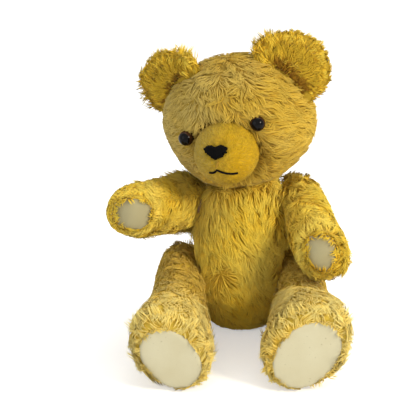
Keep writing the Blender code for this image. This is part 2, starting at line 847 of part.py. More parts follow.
def add_disc_joint(name, joint, limb, limb_name, disc_radius):
    """Board disc and washer on each side of the cloth, held by one split pin bent at both ends."""
    bore = PIN_RADIUS + GAP
    board_low = CLOTH + GAP
    board_high = board_low + BOARD_THICKNESS
    washer_low = board_high + GAP
    washer_high = washer_low + WASHER_THICKNESS
    bend = washer_high + GAP + PIN_RADIUS
    chamber_end = bend + 2 * PIN_EYE_RADIUS + PIN_RADIUS + 2 * GAP
    chamber = PIN_EYE_RADIUS + PIN_RADIUS + PIN_CLEARANCE
    pocket = (
        (0, chamber_end),
        (chamber, chamber_end),
        (chamber, board_high + GAP),
        (disc_radius + GAP, board_high + GAP),
        (disc_radius + GAP, CLOTH),
        (bore, CLOTH),
        (bore, -CLOTH),
        (0, -CLOTH),
    )
    into_torso = ALONG_AXIS @ Matrix.Rotation(math.radians(180), 4, "X")
    into_limb = Matrix.Translation((GAP, 0, 0)) @ ALONG_AXIS
    for host, host_name, local in ((torso, "torso", into_torso), (limb, limb_name, into_limb)):
        label = name + "_" + host_name
        cutter = turned(label + "_pocket", pocket, None, joint, local, True)
        boolean(host, cutter)
        turned(
            label + "_disc",
            washer_profile(disc_radius, bore, board_low, board_high),
            BOARD,
            joint if host is limb else None,
            local if host is limb else joint.matrix_basis @ local,
        )
        turned(
            label + "_washer",
            washer_profile(WASHER_RADIUS, bore, washer_low, washer_high),
            STEEL,
            joint if host is limb else None,
            local if host is limb else joint.matrix_basis @ local,
            steps=8,
        )
    # The pin: a hook in the torso, the shaft, an open eye in the limb
    outer_end = GAP + bend
    middle = outer_end + PIN_EYE_RADIUS
    points = [(-bend, 0, 0.85 * WASHER_RADIUS), (-bend, 0, 0)]
    for step in range(7):
        angle = math.radians(45 * step - 90)
        points.append(
            (middle + PIN_EYE_RADIUS * math.sin(angle), 0, PIN_EYE_RADIUS * math.cos(angle))
        )
    wire_form(name + "_pin", points, PIN_RADIUS, STEEL, None, joint.matrix_basis)


add_disc_joint("neck", neck_pivot, head, "head", NECK_DISC_RADIUS)
for side_name, side in SIDES.items():
    add_disc_joint(
        "shoulder_" + side_name, side["shoulder"], side["arm"], "arm", SHOULDER_DISC_RADIUS
    )
    add_disc_joint("hip_" + side_name, side["hip"], side["leg"], "leg", HIP_DISC_RADIUS)
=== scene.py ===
# The looks of a threadbare teddy bear: worn golden plush over the jointed frame's own solids.
# Metres, +Z up. The bear sits on the floor at z = 0 and faces -Y; its right side is at -X.
import json
import math

import bmesh
import bpy
import numpy as np
from mathutils import Matrix, Vector
from mathutils.bvhtree import BVHTree
from mathutils.kdtree import KDTree


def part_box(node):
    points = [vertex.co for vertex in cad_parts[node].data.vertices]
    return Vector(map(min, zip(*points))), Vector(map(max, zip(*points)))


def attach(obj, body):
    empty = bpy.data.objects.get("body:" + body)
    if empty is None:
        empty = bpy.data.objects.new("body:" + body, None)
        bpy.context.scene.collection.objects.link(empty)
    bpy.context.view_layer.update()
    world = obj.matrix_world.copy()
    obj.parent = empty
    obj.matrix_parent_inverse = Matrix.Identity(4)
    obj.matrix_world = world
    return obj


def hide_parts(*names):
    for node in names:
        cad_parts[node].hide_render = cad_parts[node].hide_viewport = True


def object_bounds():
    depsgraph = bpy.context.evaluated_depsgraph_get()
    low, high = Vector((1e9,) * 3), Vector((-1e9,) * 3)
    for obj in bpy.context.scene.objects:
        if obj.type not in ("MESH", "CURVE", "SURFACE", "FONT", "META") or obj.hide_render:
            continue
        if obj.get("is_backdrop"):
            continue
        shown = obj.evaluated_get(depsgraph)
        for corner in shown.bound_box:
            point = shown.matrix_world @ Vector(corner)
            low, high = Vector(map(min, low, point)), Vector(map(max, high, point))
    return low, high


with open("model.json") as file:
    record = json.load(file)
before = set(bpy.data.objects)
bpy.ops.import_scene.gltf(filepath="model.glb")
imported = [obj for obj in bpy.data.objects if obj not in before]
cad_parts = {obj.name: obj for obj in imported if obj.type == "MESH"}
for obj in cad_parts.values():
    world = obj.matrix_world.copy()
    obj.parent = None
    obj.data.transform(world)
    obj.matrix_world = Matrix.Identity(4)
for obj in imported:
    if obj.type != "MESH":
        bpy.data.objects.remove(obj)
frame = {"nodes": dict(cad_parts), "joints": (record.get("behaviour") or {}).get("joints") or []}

solid_low, solid_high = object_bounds()
nodes = frame["nodes"]
joints = {joint["name"]: joint for joint in frame["joints"]}


# The studio: a pale floor under soft lamps, with the warm key lamp at the viewer's right.
# The camera stands a little above the bear and looks slightly down on it.
CAMERA_RISE = math.radians(20)
CAMERA_DISTANCE = 1.3
CAMERA_ACROSS = -0.0368
CAMERA_UP = 0.1076
PICTURE_SIDE = 400
FOCAL_PIXELS = 1413
SENSOR_WIDTH = 36.0
FLOOR_SIDE = 6.0
LAMPS = (
    # name, place, size, power, colour
    ("key_lamp", (1.1, -1.0, 0.95), 0.45, 21.5, (1.0, 0.93, 0.78)),
    ("fill_lamp", (-1.2, -1.0, 0.7), 1.2, 4.5, (0.94, 0.96, 1.0)),
    ("top_lamp", (0.1, 0.5, 1.5), 1.2, 8.0, (1.0, 0.98, 0.92)),
)
SURROUND_STRENGTH = 0.58
FLOOR_GLOW = 0.45


def display_colour(red, green, blue):
    """A colour as it shows on a display, 0 to 1, as the linear colour that a shader takes."""
    def linear(value):
        return value / 12.92 if value <= 0.04045 else ((value + 0.055) / 1.055) ** 2.4

    return (linear(red), linear(green), linear(blue), 1.0)


def place_camera():
    right = Vector((1, 0, 0))
    up = Vector((0, math.sin(CAMERA_RISE), math.cos(CAMERA_RISE)))
    toward = Vector((0, -math.cos(CAMERA_RISE), math.sin(CAMERA_RISE)))
    place = right * CAMERA_ACROSS + up * CAMERA_UP + toward * CAMERA_DISTANCE
    camera = bpy.data.cameras.new("camera")
    camera.sensor_width = SENSOR_WIDTH
    camera.lens = FOCAL_PIXELS / PICTURE_SIDE * SENSOR_WIDTH
    item = bpy.data.objects.new("camera", camera)
    item.matrix_world = Matrix.Translation(place) @ Matrix((right, up, toward)).transposed().to_4x4()
    bpy.context.scene.collection.objects.link(item)
    bpy.context.scene.camera = item


def hang_lamp(name, place, size, power, colour):
    lamp = bpy.data.lights.new(name, "AREA")
    lamp.shape = "DISK"
    lamp.size = size
    lamp.energy = power
    lamp.color = colour
    item = bpy.data.objects.new(name, lamp)
    middle = (solid_low + solid_high) / 2
    item.location = place
    item.rotation_euler = (middle - Vector(place)).to_track_quat("-Z", "Y").to_euler()
    bpy.context.scene.collection.objects.link(item)


def seen_directly(tree):
    """One where a ray comes from the eye, a gloss or through glass, and nought elsewhere."""
    path = tree.nodes.new("ShaderNodeLightPath")
    both = tree.nodes.new("ShaderNodeMath")
    both.operation = "MAXIMUM"
    tree.links.new(path.outputs["Is Camera Ray"], both.inputs[0])
    tree.links.new(path.outputs["Is Glossy Ray"], both.inputs[1])
    every = tree.nodes.new("ShaderNodeMath")
    every.operation = "MAXIMUM"
    tree.links.new(both.outputs[0], every.inputs[0])
    tree.links.new(path.outputs["Is Transmission Ray"], every.inputs[1])
    return every.outputs[0]


def white_surround():
    world = bpy.data.worlds.new("surround")
    world.use_nodes = True
    tree = world.node_tree
    tree.nodes.clear()
    lit = tree.nodes.new("ShaderNodeBackground")
    lit.inputs["Color"].default_value = (0.96, 0.98, 1.0, 1.0)
    lit.inputs["Strength"].default_value = SURROUND_STRENGTH
    shown = tree.nodes.new("ShaderNodeBackground")
    shown.inputs["Color"].default_value = (1.0, 1.0, 1.0, 1.0)
    shown.inputs["Strength"].default_value = 1.0
    mix = tree.nodes.new("ShaderNodeMixShader")
    out = tree.nodes.new("ShaderNodeOutputWorld")
    tree.links.new(seen_directly(tree), mix.inputs["Fac"])
    tree.links.new(lit.outputs[0], mix.inputs[1])
    tree.links.new(shown.outputs[0], mix.inputs[2])
    tree.links.new(mix.outputs[0], out.inputs["Surface"])
    bpy.context.scene.world = world


def lay_floor():
    form = bmesh.new()
    bmesh.ops.create_grid(form, x_segments=1, y_segments=1, size=FLOOR_SIDE / 2)
    mesh = bpy.data.meshes.new("floor")
    form.to_mesh(mesh)
    form.free()
    material = bpy.data.materials.new("pale_floor")
    material.use_nodes = True
    tree = material.node_tree
    tree.nodes.clear()
    matt = tree.nodes.new("ShaderNodeBsdfDiffuse")
    matt.inputs["Color"].default_value = (0.86, 0.86, 0.86, 1.0)
    glow = tree.nodes.new("ShaderNodeEmission")
    glow.inputs["Color"].default_value = (1.0, 1.0, 1.0, 1.0)
    strength = tree.nodes.new("ShaderNodeMath")
    strength.operation = "MULTIPLY"
    strength.inputs[1].default_value = FLOOR_GLOW
    tree.links.new(seen_directly(tree), strength.inputs[0])
    tree.links.new(strength.outputs[0], glow.inputs["Strength"])
    both = tree.nodes.new("ShaderNodeAddShader")
    tree.links.new(matt.outputs[0], both.inputs[0])
    tree.links.new(glow.outputs[0], both.inputs[1])
    out = tree.nodes.new("ShaderNodeOutputMaterial")
    tree.links.new(both.outputs[0], out.inputs["Surface"])
    mesh.materials.append(material)
    floor = bpy.data.objects.new("floor", mesh)
    bpy.context.scene.collection.objects.link(floor)
    floor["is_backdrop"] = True


place_camera()
for lamp in LAMPS:
    hang_lamp(*lamp)
white_surround()
lay_floor()
bpy.context.scene.view_settings.view_transform = "Standard"


# The body: a stuffed bag of woven plush, closed by hand down its back.
# Its pile has matted into wavy tufts that part over the belly and lie down towards the seat.
CLOTH_GRID = 22
PILE_DEPTH = 0.0010
FLOOR_CLEARANCE = 0.0007
NORMAL_SOFTNESS = 0.6
TORSO_LOCKS = 16500
TORSO_TUFTS = 2300
TORSO_PILE_LENGTH = 0.0135
TORSO_ROUNDNESS = 9.0
LOCK_WIDTH = 0.00095
BELLY_PARTING = Vector((-0.019, -0.046, 0.060))
PARTING_REACH = 0.016
SLANT = 0.5
# The root colours of every pile are darker as painted shade down among the locks.
ROOT_GOLD = display_colour(0.74, 0.56, 0.13)
PILE_GOLD = display_colour(0.93, 0.77, 0.22)
TIP_GOLD = display_colour(0.98, 0.88, 0.36)
DEEP_GOLD = display_colour(0.90, 0.71, 0.08)
WORN_GOLD = display_colour(0.93, 0.85, 0.44)


def outside_of(names):
    """A search tree over the outsides of some of the frame's solids."""
    points = []
    faces = []
    for name in names:
        mesh = nodes[name].data
        start = len(points)
        points.extend(vertex.co.copy() for vertex in mesh.vertices)
        faces.extend([start + corner for corner in face.vertices] for face in mesh.polygons)
    return BVHTree.FromPolygons(points, faces)


def smoothed(form, times):
    for _ in range(times):
        bmesh.ops.smooth_vert(
            form, verts=form.verts, factor=0.5, use_axis_x=True, use_axis_y=True, use_axis_z=True
        )


def piece_from(form, name):
    """A piece made of a finished form, shaded smooth."""
    for face in form.faces:
        face.smooth = True
    mesh = bpy.data.meshes.new(name)
    form.to_mesh(mesh)
    form.free()
    item = bpy.data.objects.new(name, mesh)
    bpy.context.scene.collection.objects.link(item)
    return item


CREASE_BULGE = 0.0014


def cover(name, node, grid=CLOTH_GRID, smoothing=3, depth=PILE_DEPTH, beside=()):
    """A closed skin drawn in onto a solid from a rounded block, and set in to leave its pile room,
    but not where it meets the solids that it is jointed or sewn to."""
    solid = outside_of([node])
    low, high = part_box(node)
    middle = (low + high) / 2
    half = (high - low) / 2
    form = bmesh.new()
    bmesh.ops.create_cube(form, size=2.0)
    bmesh.ops.subdivide_edges(form, edges=form.edges[:], cuts=grid, use_grid_fill=True)
    for vertex in form.verts:
        spread = Vector([math.tan(value * math.pi / 4) for value in vertex.co]).normalized()
        start = middle + Vector((spread.x * half.x, spread.y * half.y, spread.z * half.z)) * 3
        vertex.co = solid.ray_cast(start, (middle - start).normalized())[0]
    smoothed(form, smoothing)
    form.normal_update()
    held = room_from(beside, 0.001, 0.008, 0.0) if beside else lambda points: np.ones(len(points))
    for vertex, share in zip(form.verts, held([vertex.co for vertex in form.verts])):
        vertex.co -= vertex.normal * (depth * share - CREASE_BULGE * (1 - share))
    return piece_from(form, name)


def unit(vectors):
    return vectors / np.maximum(np.linalg.norm(vectors, axis=-1, keepdims=True), 1e-12)


def surface_spots(skin, wanted, rng):
    """Evenly spread places on a skin with their normals, in the order of its faces."""
    mesh = skin.data
    mesh.calc_loop_triangles()
    places = np.empty(len(mesh.vertices) * 3)
    mesh.vertices.foreach_get("co", places)
    places = places.reshape(-1, 3)
    normals = np.empty(len(mesh.vertices) * 3, np.float32)
    mesh.vertex_normals.foreach_get("vector", normals)
    normals = normals.reshape(-1, 3).astype(float)
    corners = np.empty(len(mesh.loop_triangles) * 3, np.int32)
    mesh.loop_triangles.foreach_get("vertices", corners)
    corners = corners.reshape(-1, 3)
    a, b, c = (places[corners[:, side]] for side in range(3))
    areas = np.linalg.norm(np.cross(b - a, c - a), axis=1)
    reach = np.cumsum(areas) / areas.sum()
    picks = np.searchsorted(reach, (np.arange(wanted) + rng.random(wanted)) / wanted)
    picks = np.minimum(picks, len(areas) - 1)
    u = rng.random(wanted)
    v = rng.random(wanted)
    flip = u + v > 1
    u[flip] = 1 - u[flip]
    v[flip] = 1 - v[flip]
    shares = np.stack((1 - u - v, u, v), 1)
    spots = (places[corners[picks]] * shares[:, :, None]).sum(1)
    facing = (normals[corners[picks]] * shares[:, :, None]).sum(1)
    return spots, unit(facing)


def ripple(points, wavelength, seed):
    """A smooth wandering value from about -1 to 1 over space."""
    rng = np.random.default_rng(seed)
    total = np.zeros(len(points))
    for _ in range(5):
        way = unit(rng.normal(size=3))
        turns = points @ way / (wavelength * rng.uniform(0.6, 1.5))
        total += np.sin(turns * 2 * math.pi + rng.uniform(0, 2 * math.pi))
    return total / 2.6


def turned_about(vectors, axes, angles):
    """Vectors turned about unit axes at right angles to them."""
    return vectors * np.cos(angles)[:, None] + np.cross(axes, vectors) * np.sin(angles)[:, None]


def laid_along(ways, normals):
    """The part of each way that lies along the surface, as a unit vector."""
    return unit(ways - (ways * normals).sum(1, keepdims=True) * normals)


def nearest_of(points, centres):
    tree = KDTree(len(centres))
    for index, centre in enumerate(centres):
        tree.insert(centre, index)
    tree.balance()
    return np.array([tree.find(point)[1] for point in points])


def room_beside(*rooms):
    """The least of several rooms, as a pile's own."""
    return lambda points, normals: np.min([room(points) for room in rooms], axis=0)


def room_from(names, near, far, least=0.3):
    """How long pile may grow: nought up to near from some solids, and its full length from far on."""
    outside = outside_of(names)

    def room(points):
        away = np.array([outside.find_nearest(point)[3] for point in points])
        share = np.clip((away - near) / (far - near), 0, 1)
        return np.where(away > near, least + (1 - least) * share, 0)

    return room


def lock_pattern(stations):
    """The faces of one lock, as corners, with each corner's place across and along the lock."""
    rings = stations - 1
    corners = []
    sizes = []
    places = []
    for ring in range(rings - 1):
        for side in range(3):
            after = (side + 1) % 3
            corners += [3 * ring + side, 3 * ring + after, 3 * ring + 3 + after, 3 * ring + 3 + side]
            places += [(side, ring), (side + 1, ring), (side + 1, ring + 1), (side, ring + 1)]
            sizes.append(4)
    for side in range(3):
        after = (side + 1) % 3
        corners += [3 * rings - 3 + side, 3 * rings - 3 + after, 3 * rings]
        places += [(side, rings - 1), (side + 1, rings - 1), (side + 0.5, rings)]
        sizes.append(3)
    corners += [2, 1, 0]
    places += [(2, 0), (1, 0.02), (0, 0)]
    sizes.append(3)
    return np.array(corners), np.array(sizes), np.array(places, float)


def locks_mesh(name, paths, widths, facing, roll, softness, values):
    """Closed three-sided tapering locks, flat side out. Paths are stations along each, tip last.
    values are numbers held for each lock, which the pile's material reads by name."""
    count, stations = paths.shape[:2]
    along = unit(np.gradient(paths, axis=1))
    outward = unit(facing + roll)
    side = unit(np.cross(outward[:, None, :], along))
    lift = np.cross(along, side)
    rings = stations - 1
    ring_points = np.empty((count, rings, 3, 3))
    ring_normals = np.empty((count, rings, 3, 3))
    for corner in range(3):
        angle = -math.pi / 2 + corner * 2 * math.pi / 3
        spoke = side * math.cos(angle) + lift * math.sin(angle) * 0.7
        ring_points[:, :, corner] = paths[:, :rings] + spoke[:, :rings] * widths[:, :rings, None] / 2
        ring_normals[:, :, corner] = unit(spoke[:, :rings] + softness * facing[:, None, :])
    points = np.concatenate((ring_points.reshape(count, rings * 3, 3), paths[:, -1:]), 1)
    tip_normals = unit(lift[:, -1:] + softness * facing[:, None, :])
    normals = np.concatenate((ring_normals.reshape(count, rings * 3, 3), tip_normals), 1)
    corners, sizes, places = lock_pattern(stations)
    held = rings * 3 + 1
    loops = (corners[None, :] + held * np.arange(count)[:, None]).ravel()
    mesh = bpy.data.meshes.new(name)
    mesh.vertices.add(count * held)
    mesh.vertices.foreach_set("co", points.astype(np.float32).ravel())
    mesh.loops.add(len(loops))
    mesh.loops.foreach_set("vertex_index", loops.astype(np.int32))
    all_sizes = np.tile(sizes, count)
    mesh.polygons.add(len(all_sizes))
    mesh.polygons.foreach_set("loop_start", np.concatenate(([0], np.cumsum(all_sizes)[:-1])).astype(np.int32))
    mesh.polygons.foreach_set("use_smooth", np.ones(len(all_sizes), bool))
    share = np.append(np.repeat(np.arange(rings), 3), rings) / rings
    values = {"along": np.tile(share, count), **{key: np.repeat(held_value, held) for key, held_value in values.items()}}
    for key, numbers in values.items():
        mesh.attributes.new(key, "FLOAT", "POINT").data.foreach_set("value", numbers.astype(np.float32))
    columns = math.ceil(math.sqrt(2 * count))
    rows = math.ceil(count / columns)
    cell = np.stack((np.arange(count) % columns, np.arange(count) // columns), 1)
    inside = 0.1 + 0.8 * places / np.array((3, rings))
    mapped = (cell[:, None, :] + inside[None, :, :]) / np.array((columns, rows))
    mesh.uv_layers.new(name="OFBake").uv.foreach_set("vector", mapped.astype(np.float32).ravel())
    mesh.update(calc_edges=True)
    mesh.normals_split_custom_set_from_vertices(normals.reshape(-1, 3).tolist())
    return mesh


def grow_pile(name, skin, locks, tufts, length, comb, seed, room, worn=None, width=LOCK_WIDTH, stations=3,
              rise=0.5, droop=0.35, gather=0.6, wave=0.0009, scatter=0.2, roundness=TORSO_ROUNDNESS,
              stand=None, softness=NORMAL_SOFTNESS, tries=2):
    """Pile on a skin: locks gathered into tufts that share their lie, wave and shade.
    comb gives the lie of the pile, room its share of full length, worn how far it is faded, and
    stand how much more it stands up than its rise. tries is how many places are looked at for
    each lock, more where most of the skin has no room for any."""
    rng = np.random.default_rng(seed)
    spots, normals = surface_spots(skin, locks * tries, rng)
    keep = np.flatnonzero(room(spots, normals) > 0)
    if len(keep) > locks:
        keep = keep[np.sort(rng.choice(len(keep), locks, replace=False))]
    spots = spots[keep]
    normals = normals[keep]
    count = len(spots)
    leaders = rng.choice(count, tufts, replace=False)
    tuft = nearest_of(spots, spots[leaders])
    ways = laid_along(comb(spots, normals), normals)
    sways = turned_about(ways, normals, rng.normal(scale=scatter, size=count))

    tuft_turn = rng.normal(scale=1.6 * scatter, size=tufts)
    tuft_way = turned_about(ways[leaders], normals[leaders], tuft_turn)
    tuft_length = length * rng.uniform(0.75, 1.15, tufts) * room(spots[leaders], normals[leaders])
    tuft_phase = rng.uniform(0, 2 * math.pi, tufts)
    tuft_tone = rng.uniform(0, 1, tufts)
    standing = np.zeros(count) if stand is None else stand(spots, normals)
    shares = np.linspace(0, 1, stations)

    def drawn(roots, facing, way, size, phase, lift):
        start = unit(facing * lift[:, None] + way)
        bend = (way - facing * 0.8) * droop
        side = np.cross(facing, way)
        ahead = shares[None, :, None] * start[:, None, :] + (shares**2)[None, :, None] * bend[:, None, :]
        path = roots[:, None, :] + ahead * size[:, None, None]
        swing = np.sin(phase[:, None] + shares[None, :] * 5.0) * shares[None, :]
        fall = roundness * (shares[None, :] * size[:, None]) ** 2
        return path + side[:, None, :] * (wave * swing)[:, :, None] - facing[:, None, :] * fall[:, :, None]

    size = tuft_length[tuft] * rng.uniform(0.8, 1.1, count)
    phase = tuft_phase[tuft] + rng.normal(scale=0.5, size=count)
    own = drawn(spots, normals, sways, size, phase, rise * rng.uniform(0.5, 1.5, count) + standing)
    tuft_lift = rise * rng.uniform(0.5, 1.5, tufts) + standing[leaders]
    led = drawn(spots[leaders], normals[leaders], tuft_way, tuft_length, tuft_phase, tuft_lift)[tuft]
    pull = (gather * shares**1.3)[None, :, None]
    paths = own + (led - own) * pull
    paths[:, :, 2] = np.maximum(paths[:, :, 2], FLOOR_CLEARANCE)
    profile = np.interp(shares, (0, 0.5, 0.8, 1), (1, 0.9, 0.6, 0.1))
    widths = width * rng.uniform(0.7, 1.25, count)[:, None] * profile[None, :]
    values = {
        "tone": np.clip(tuft_tone[tuft] * 0.65 + rng.uniform(0, 0.35, count), 0, 1),
        "worn": np.zeros(count) if worn is None else worn(spots, normals),
    }
    roll = rng.normal(scale=0.35, size=(count, 3))
    item = bpy.data.objects.new(name, locks_mesh(name, paths, widths, normals, roll, softness, values))
    bpy.context.scene.collection.objects.link(item)
    return item


def pile_material(name, root, body, tip, rich, faded, rich_scale=16.0, rich_amount=0.5, shade=0.2):
    """Pile darker at the root, a painted shade down among the locks, and paler at the tip; richer in patches and faded
    where it is worn.
    """
    material = bpy.data.materials.new(name)
    material.use_nodes = True
    tree = material.node_tree
    shader = tree.nodes["Principled BSDF"]
    shader.inputs["Roughness"].default_value = 0.8
    shader.inputs["Specular IOR Level"].default_value = 0.1
    shader.inputs["Sheen Weight"].default_value = 0.06
    shader.inputs["Sheen Roughness"].default_value = 0.5

    def held(key):
        attribute = tree.nodes.new("ShaderNodeAttribute")
        attribute.attribute_name = key
        return attribute.outputs["Fac"]

    def tinted(amount, under, over):
        mix = tree.nodes.new("ShaderNodeMix")
        mix.data_type = "RGBA"
        mix.inputs["B"].default_value = over
        tree.links.new(amount, mix.inputs["Factor"])
        tree.links.new(under, mix.inputs["A"])
        return mix.outputs["Result"]

    # Root to tip: the dark root end is painted shade among the locks.
    fade = tree.nodes.new("ShaderNodeValToRGB")
    fade.color_ramp.elements[0].position = 0.0
    fade.color_ramp.elements[0].color = root
    fade.color_ramp.elements[1].position = 1.0
    fade.color_ramp.elements[1].color = tip
    middle = fade.color_ramp.elements.new(0.4)
    middle.color = body
    tree.links.new(held("along"), fade.inputs["Fac"])

    place = tree.nodes.new("ShaderNodeTexCoord")
    patches = tree.nodes.new("ShaderNodeTexNoise")
    patches.inputs["Scale"].default_value = rich_scale
    patches.inputs["Detail"].default_value = 3.0
    tree.links.new(place.outputs["Object"], patches.inputs["Vector"])
    spread = tree.nodes.new("ShaderNodeMapRange")
    spread.inputs["From Min"].default_value = 0.42
    spread.inputs["From Max"].default_value = 0.68
    spread.inputs["To Max"].default_value = rich_amount
    tree.links.new(patches.outputs["Fac"], spread.inputs["Value"])
    dyed_and_root_shaded = tinted(spread.outputs["Result"], fade.outputs["Color"], rich)
    bleached = tinted(held("worn"), dyed_and_root_shaded, faded)

    darker = tree.nodes.new("ShaderNodeMapRange")
    darker.inputs["To Min"].default_value = 1.0 - shade
    darker.inputs["To Max"].default_value = 1.0 + shade / 4
    tree.links.new(held("tone"), darker.inputs["Value"])
    shaded = tree.nodes.new("ShaderNodeHueSaturation")
    tree.links.new(darker.outputs["Result"], shaded.inputs["Value"])
    tree.links.new(bleached, shaded.inputs["Color"])
    tree.links.new(shaded.outputs["Color"], shader.inputs["Base Color"])
    return material


def mottled(tree, colour, light, scale, detail):
    """A grain of two near colours, with the grain's own height for a bump."""
    place = tree.nodes.new("ShaderNodeTexCoord")
    grain = tree.nodes.new("ShaderNodeTexNoise")
    grain.inputs["Scale"].default_value = scale
    grain.inputs["Detail"].default_value = detail
    tree.links.new(place.outputs["Object"], grain.inputs["Vector"])
    tint = tree.nodes.new("ShaderNodeMix")
    tint.data_type = "RGBA"
    tint.inputs["A"].default_value = colour
    tint.inputs["B"].default_value = light
    tree.links.new(grain.outputs["Fac"], tint.inputs["Factor"])
    return tint.outputs["Result"], grain.outputs["Fac"]


def raised(tree, height, strength, distance):
    bump = tree.nodes.new("ShaderNodeBump")
    bump.inputs["Strength"].default_value = strength
    bump.inputs["Distance"].default_value = distance
    tree.links.new(height, bump.inputs["Height"])
    tree.links.new(bump.outputs["Normal"], tree.nodes["Principled BSDF"].inputs["Normal"])


def grained_material(name, colour, light, roughness, scale, relief, specular=0.2, metallic=0.0):
    """A finish with a fine uneven grain in its colour and in its surface."""
    material = bpy.data.materials.new(name)
    material.use_nodes = True
    tree = material.node_tree
    shader = tree.nodes["Principled BSDF"]
    shader.inputs["Roughness"].default_value = roughness
    shader.inputs["Specular IOR Level"].default_value = specular
    shader.inputs["Metallic"].default_value = metallic
    tint, height = mottled(tree, colour, light, scale, 4.0)
    tree.links.new(tint, shader.inputs["Base Color"])
    raised(tree, height, 0.5, relief)
    return material


def settle(item, body, material, slot, *replaced):
    item.data.materials.append(material)
    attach(item, body)
    if replaced:
        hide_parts(*replaced)
    return item


GOLD_BACKING = grained_material(
    "gold_backing", display_colour(0.62, 0.50, 0.14), display_colour(0.74, 0.61, 0.18), 0.95, 220.0, 0.0008
)
GOLD_PILE = pile_material("gold_pile", ROOT_GOLD, PILE_GOLD, TIP_GOLD, DEEP_GOLD, WORN_GOLD)


def torso_comb(points, normals):
    """Down the body, in towards the middle, and outward all round the parting on the belly."""
    from_parting = points - np.array(BELLY_PARTING)
    reach = np.linalg.norm(from_parting, axis=1, keepdims=True)
    slant = SLANT * np.clip(1 - points[:, 0] / 0.02, -0.6, 1)
    downward = np.stack((slant, np.zeros(len(points)), -np.ones(len(points))), 1)
    weight = np.exp(-((reach / PARTING_REACH) ** 2))
    ways = laid_along(downward * (1 - weight) + unit(from_parting) * weight, normals)
    curly = np.clip(0.5 + points[:, 0] / 0.04, 0.3, 1)
    return turned_about(ways, normals, curly * (0.5 * ripple(points, 0.045, 11) + 0.8 * ripple(points, 0.018, 15)))


def torso_worn(points, normals):
    """Faded a little on the bear's right side, where it has been held."""
    return np.clip(0.25 + 0.25 * ripple(points, 0.06, 16) - points[:, 0] * 4, 0, 0.5)


def torso_stand(points, normals):
    """Fluffed up at the shoulders, beside the neck."""
    return 1.6 * np.clip(normals[:, 2], 0, 1) * np.clip(np.abs(points[:, 0] + 0.015) / 0.02 - 0.4, 0, 1)


JOINED_TO_TORSO = ("arm_right", "arm_left", "leg_right", "leg_left", "head")
torso_cloth = cover("torso_cloth", "torso", beside=JOINED_TO_TORSO)
settle(torso_cloth, "torso", GOLD_BACKING, "golden_plush", "torso")
torso_pile = grow_pile(
    "torso_pile",
    torso_cloth,
    TORSO_LOCKS,
    TORSO_TUFTS,
    TORSO_PILE_LENGTH,
    torso_comb,
    seed=21,
    room=room_beside(room_from(JOINED_TO_TORSO, 0.0004, 0.009, 0.85)),
    worn=torso_worn,
    stand=torso_stand,
)
settle(torso_pile, "torso", GOLD_PILE, "golden_plush")


# The disc joints inside the neck, shoulders and hips: two pressed boards, washers and a split pin
# at each, all hidden in the stuffing once the bear is sewn up.
PRESSED_BOARD = grained_material(
    "pressed_board", display_colour(0.50, 0.40, 0.28), display_colour(0.66, 0.55, 0.40), 0.85, 300.0, 0.0003
)
DULL_STEEL = grained_material(
    "dull_steel", display_colour(0.60, 0.60, 0.58), display_colour(0.75, 0.75, 0.73), 0.4, 500.0, 0.0001,
    specular=0.5, metallic=1.0
)


def refinish(node, material):
    nodes[node].data.materials.clear()
    nodes[node].data.materials.append(material)


for node_name in nodes:
    if node_name.endswith("_disc"):
        refinish(node_name, PRESSED_BOARD)
    if node_name.endswith(("_washer", "_pin")):
        refinish(node_name, DULL_STEEL)


# The head: a stuffed ball of the same plush, paler and shorter, where hands have worn it.
# The pile runs down the forehead to the muzzle and lies back over the cheeks.
HEAD_LOCKS = 17000
HEAD_TUFTS = 2000
HEAD_PILE_LENGTH = 0.0105
HEAD_PILE_DEPTH = 0.0003
RIGHT_CHEEK_HOLLOW = 0.0048
CHIN_HOLLOW = 0.0025
LEFT_CHEEK_FULLNESS = 0.0032
# FADED_ROOT is painted shade at the roots of the head's pile.
FADED_ROOT = display_colour(0.72, 0.57, 0.20)
FADED_PILE = display_colour(0.83, 0.68, 0.24)
FADED_TIP = display_colour(0.90, 0.77, 0.34)
FADED_RICH = display_colour(0.81, 0.65, 0.18)
FADED_WORN = display_colour(0.83, 0.75, 0.46)
HEAD_BACKING = grained_material(
    "faded_backing", display_colour(0.62, 0.51, 0.20), display_colour(0.73, 0.61, 0.25), 0.95, 220.0, 0.0008
)
HEAD_PILE = pile_material(
    "faded_pile", FADED_ROOT, FADED_PILE, FADED_TIP, FADED_RICH, FADED_WORN, rich_amount=0.4
)

muzzle_low, muzzle_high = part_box("muzzle")
head_low, head_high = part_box("head")
HEAD_MIDDLE = (head_low + head_high) / 2
MUZZLE_MIDDLE = (muzzle_low + muzzle_high) / 2
CROWN_WAY = Vector(joints["neck"]["axis"]).normalized()
face_line = MUZZLE_MIDDLE - HEAD_MIDDLE
FACE_WAY = (face_line - CROWN_WAY * face_line.dot(CROWN_WAY)).normalized()
LEFT_WAY = CROWN_WAY.cross(FACE_WAY)


def head_places(points):
    """How far up, to the bear's left and forward each place is from the head's middle, as shares."""
    from_middle = unit(points - np.array(HEAD_MIDDLE))
    return (from_middle @ np.array(way) for way in (CROWN_WAY, LEFT_WAY, FACE_WAY))


def head_comb(points, normals):
    """Down over the forehead, out and back over the cheeks and down the back of the head."""
    high, aside, ahead = head_places(points)
    ways = -np.array(CROWN_WAY)[None, :] * (0.35 + np.clip(high, 0, 1))[:, None]
    ways = ways + np.array(LEFT_WAY)[None, :] * (1.6 * aside)[:, None]
    ways = ways - np.array(FACE_WAY)[None, :] * (0.9 * np.abs(aside))[:, None]
    ways = laid_along(ways, normals)
    brow = np.clip(ahead + 0.2, 0, 1) * np.clip(high + 0.2, 0, 0.8) * np.clip(1.2 - np.abs(aside), 0, 1)
    turns = 0.3 * ripple(points, 0.05, 12) + 1.6 * brow * ripple(points, 0.016, 17)
    return turned_about(ways, normals, turns)


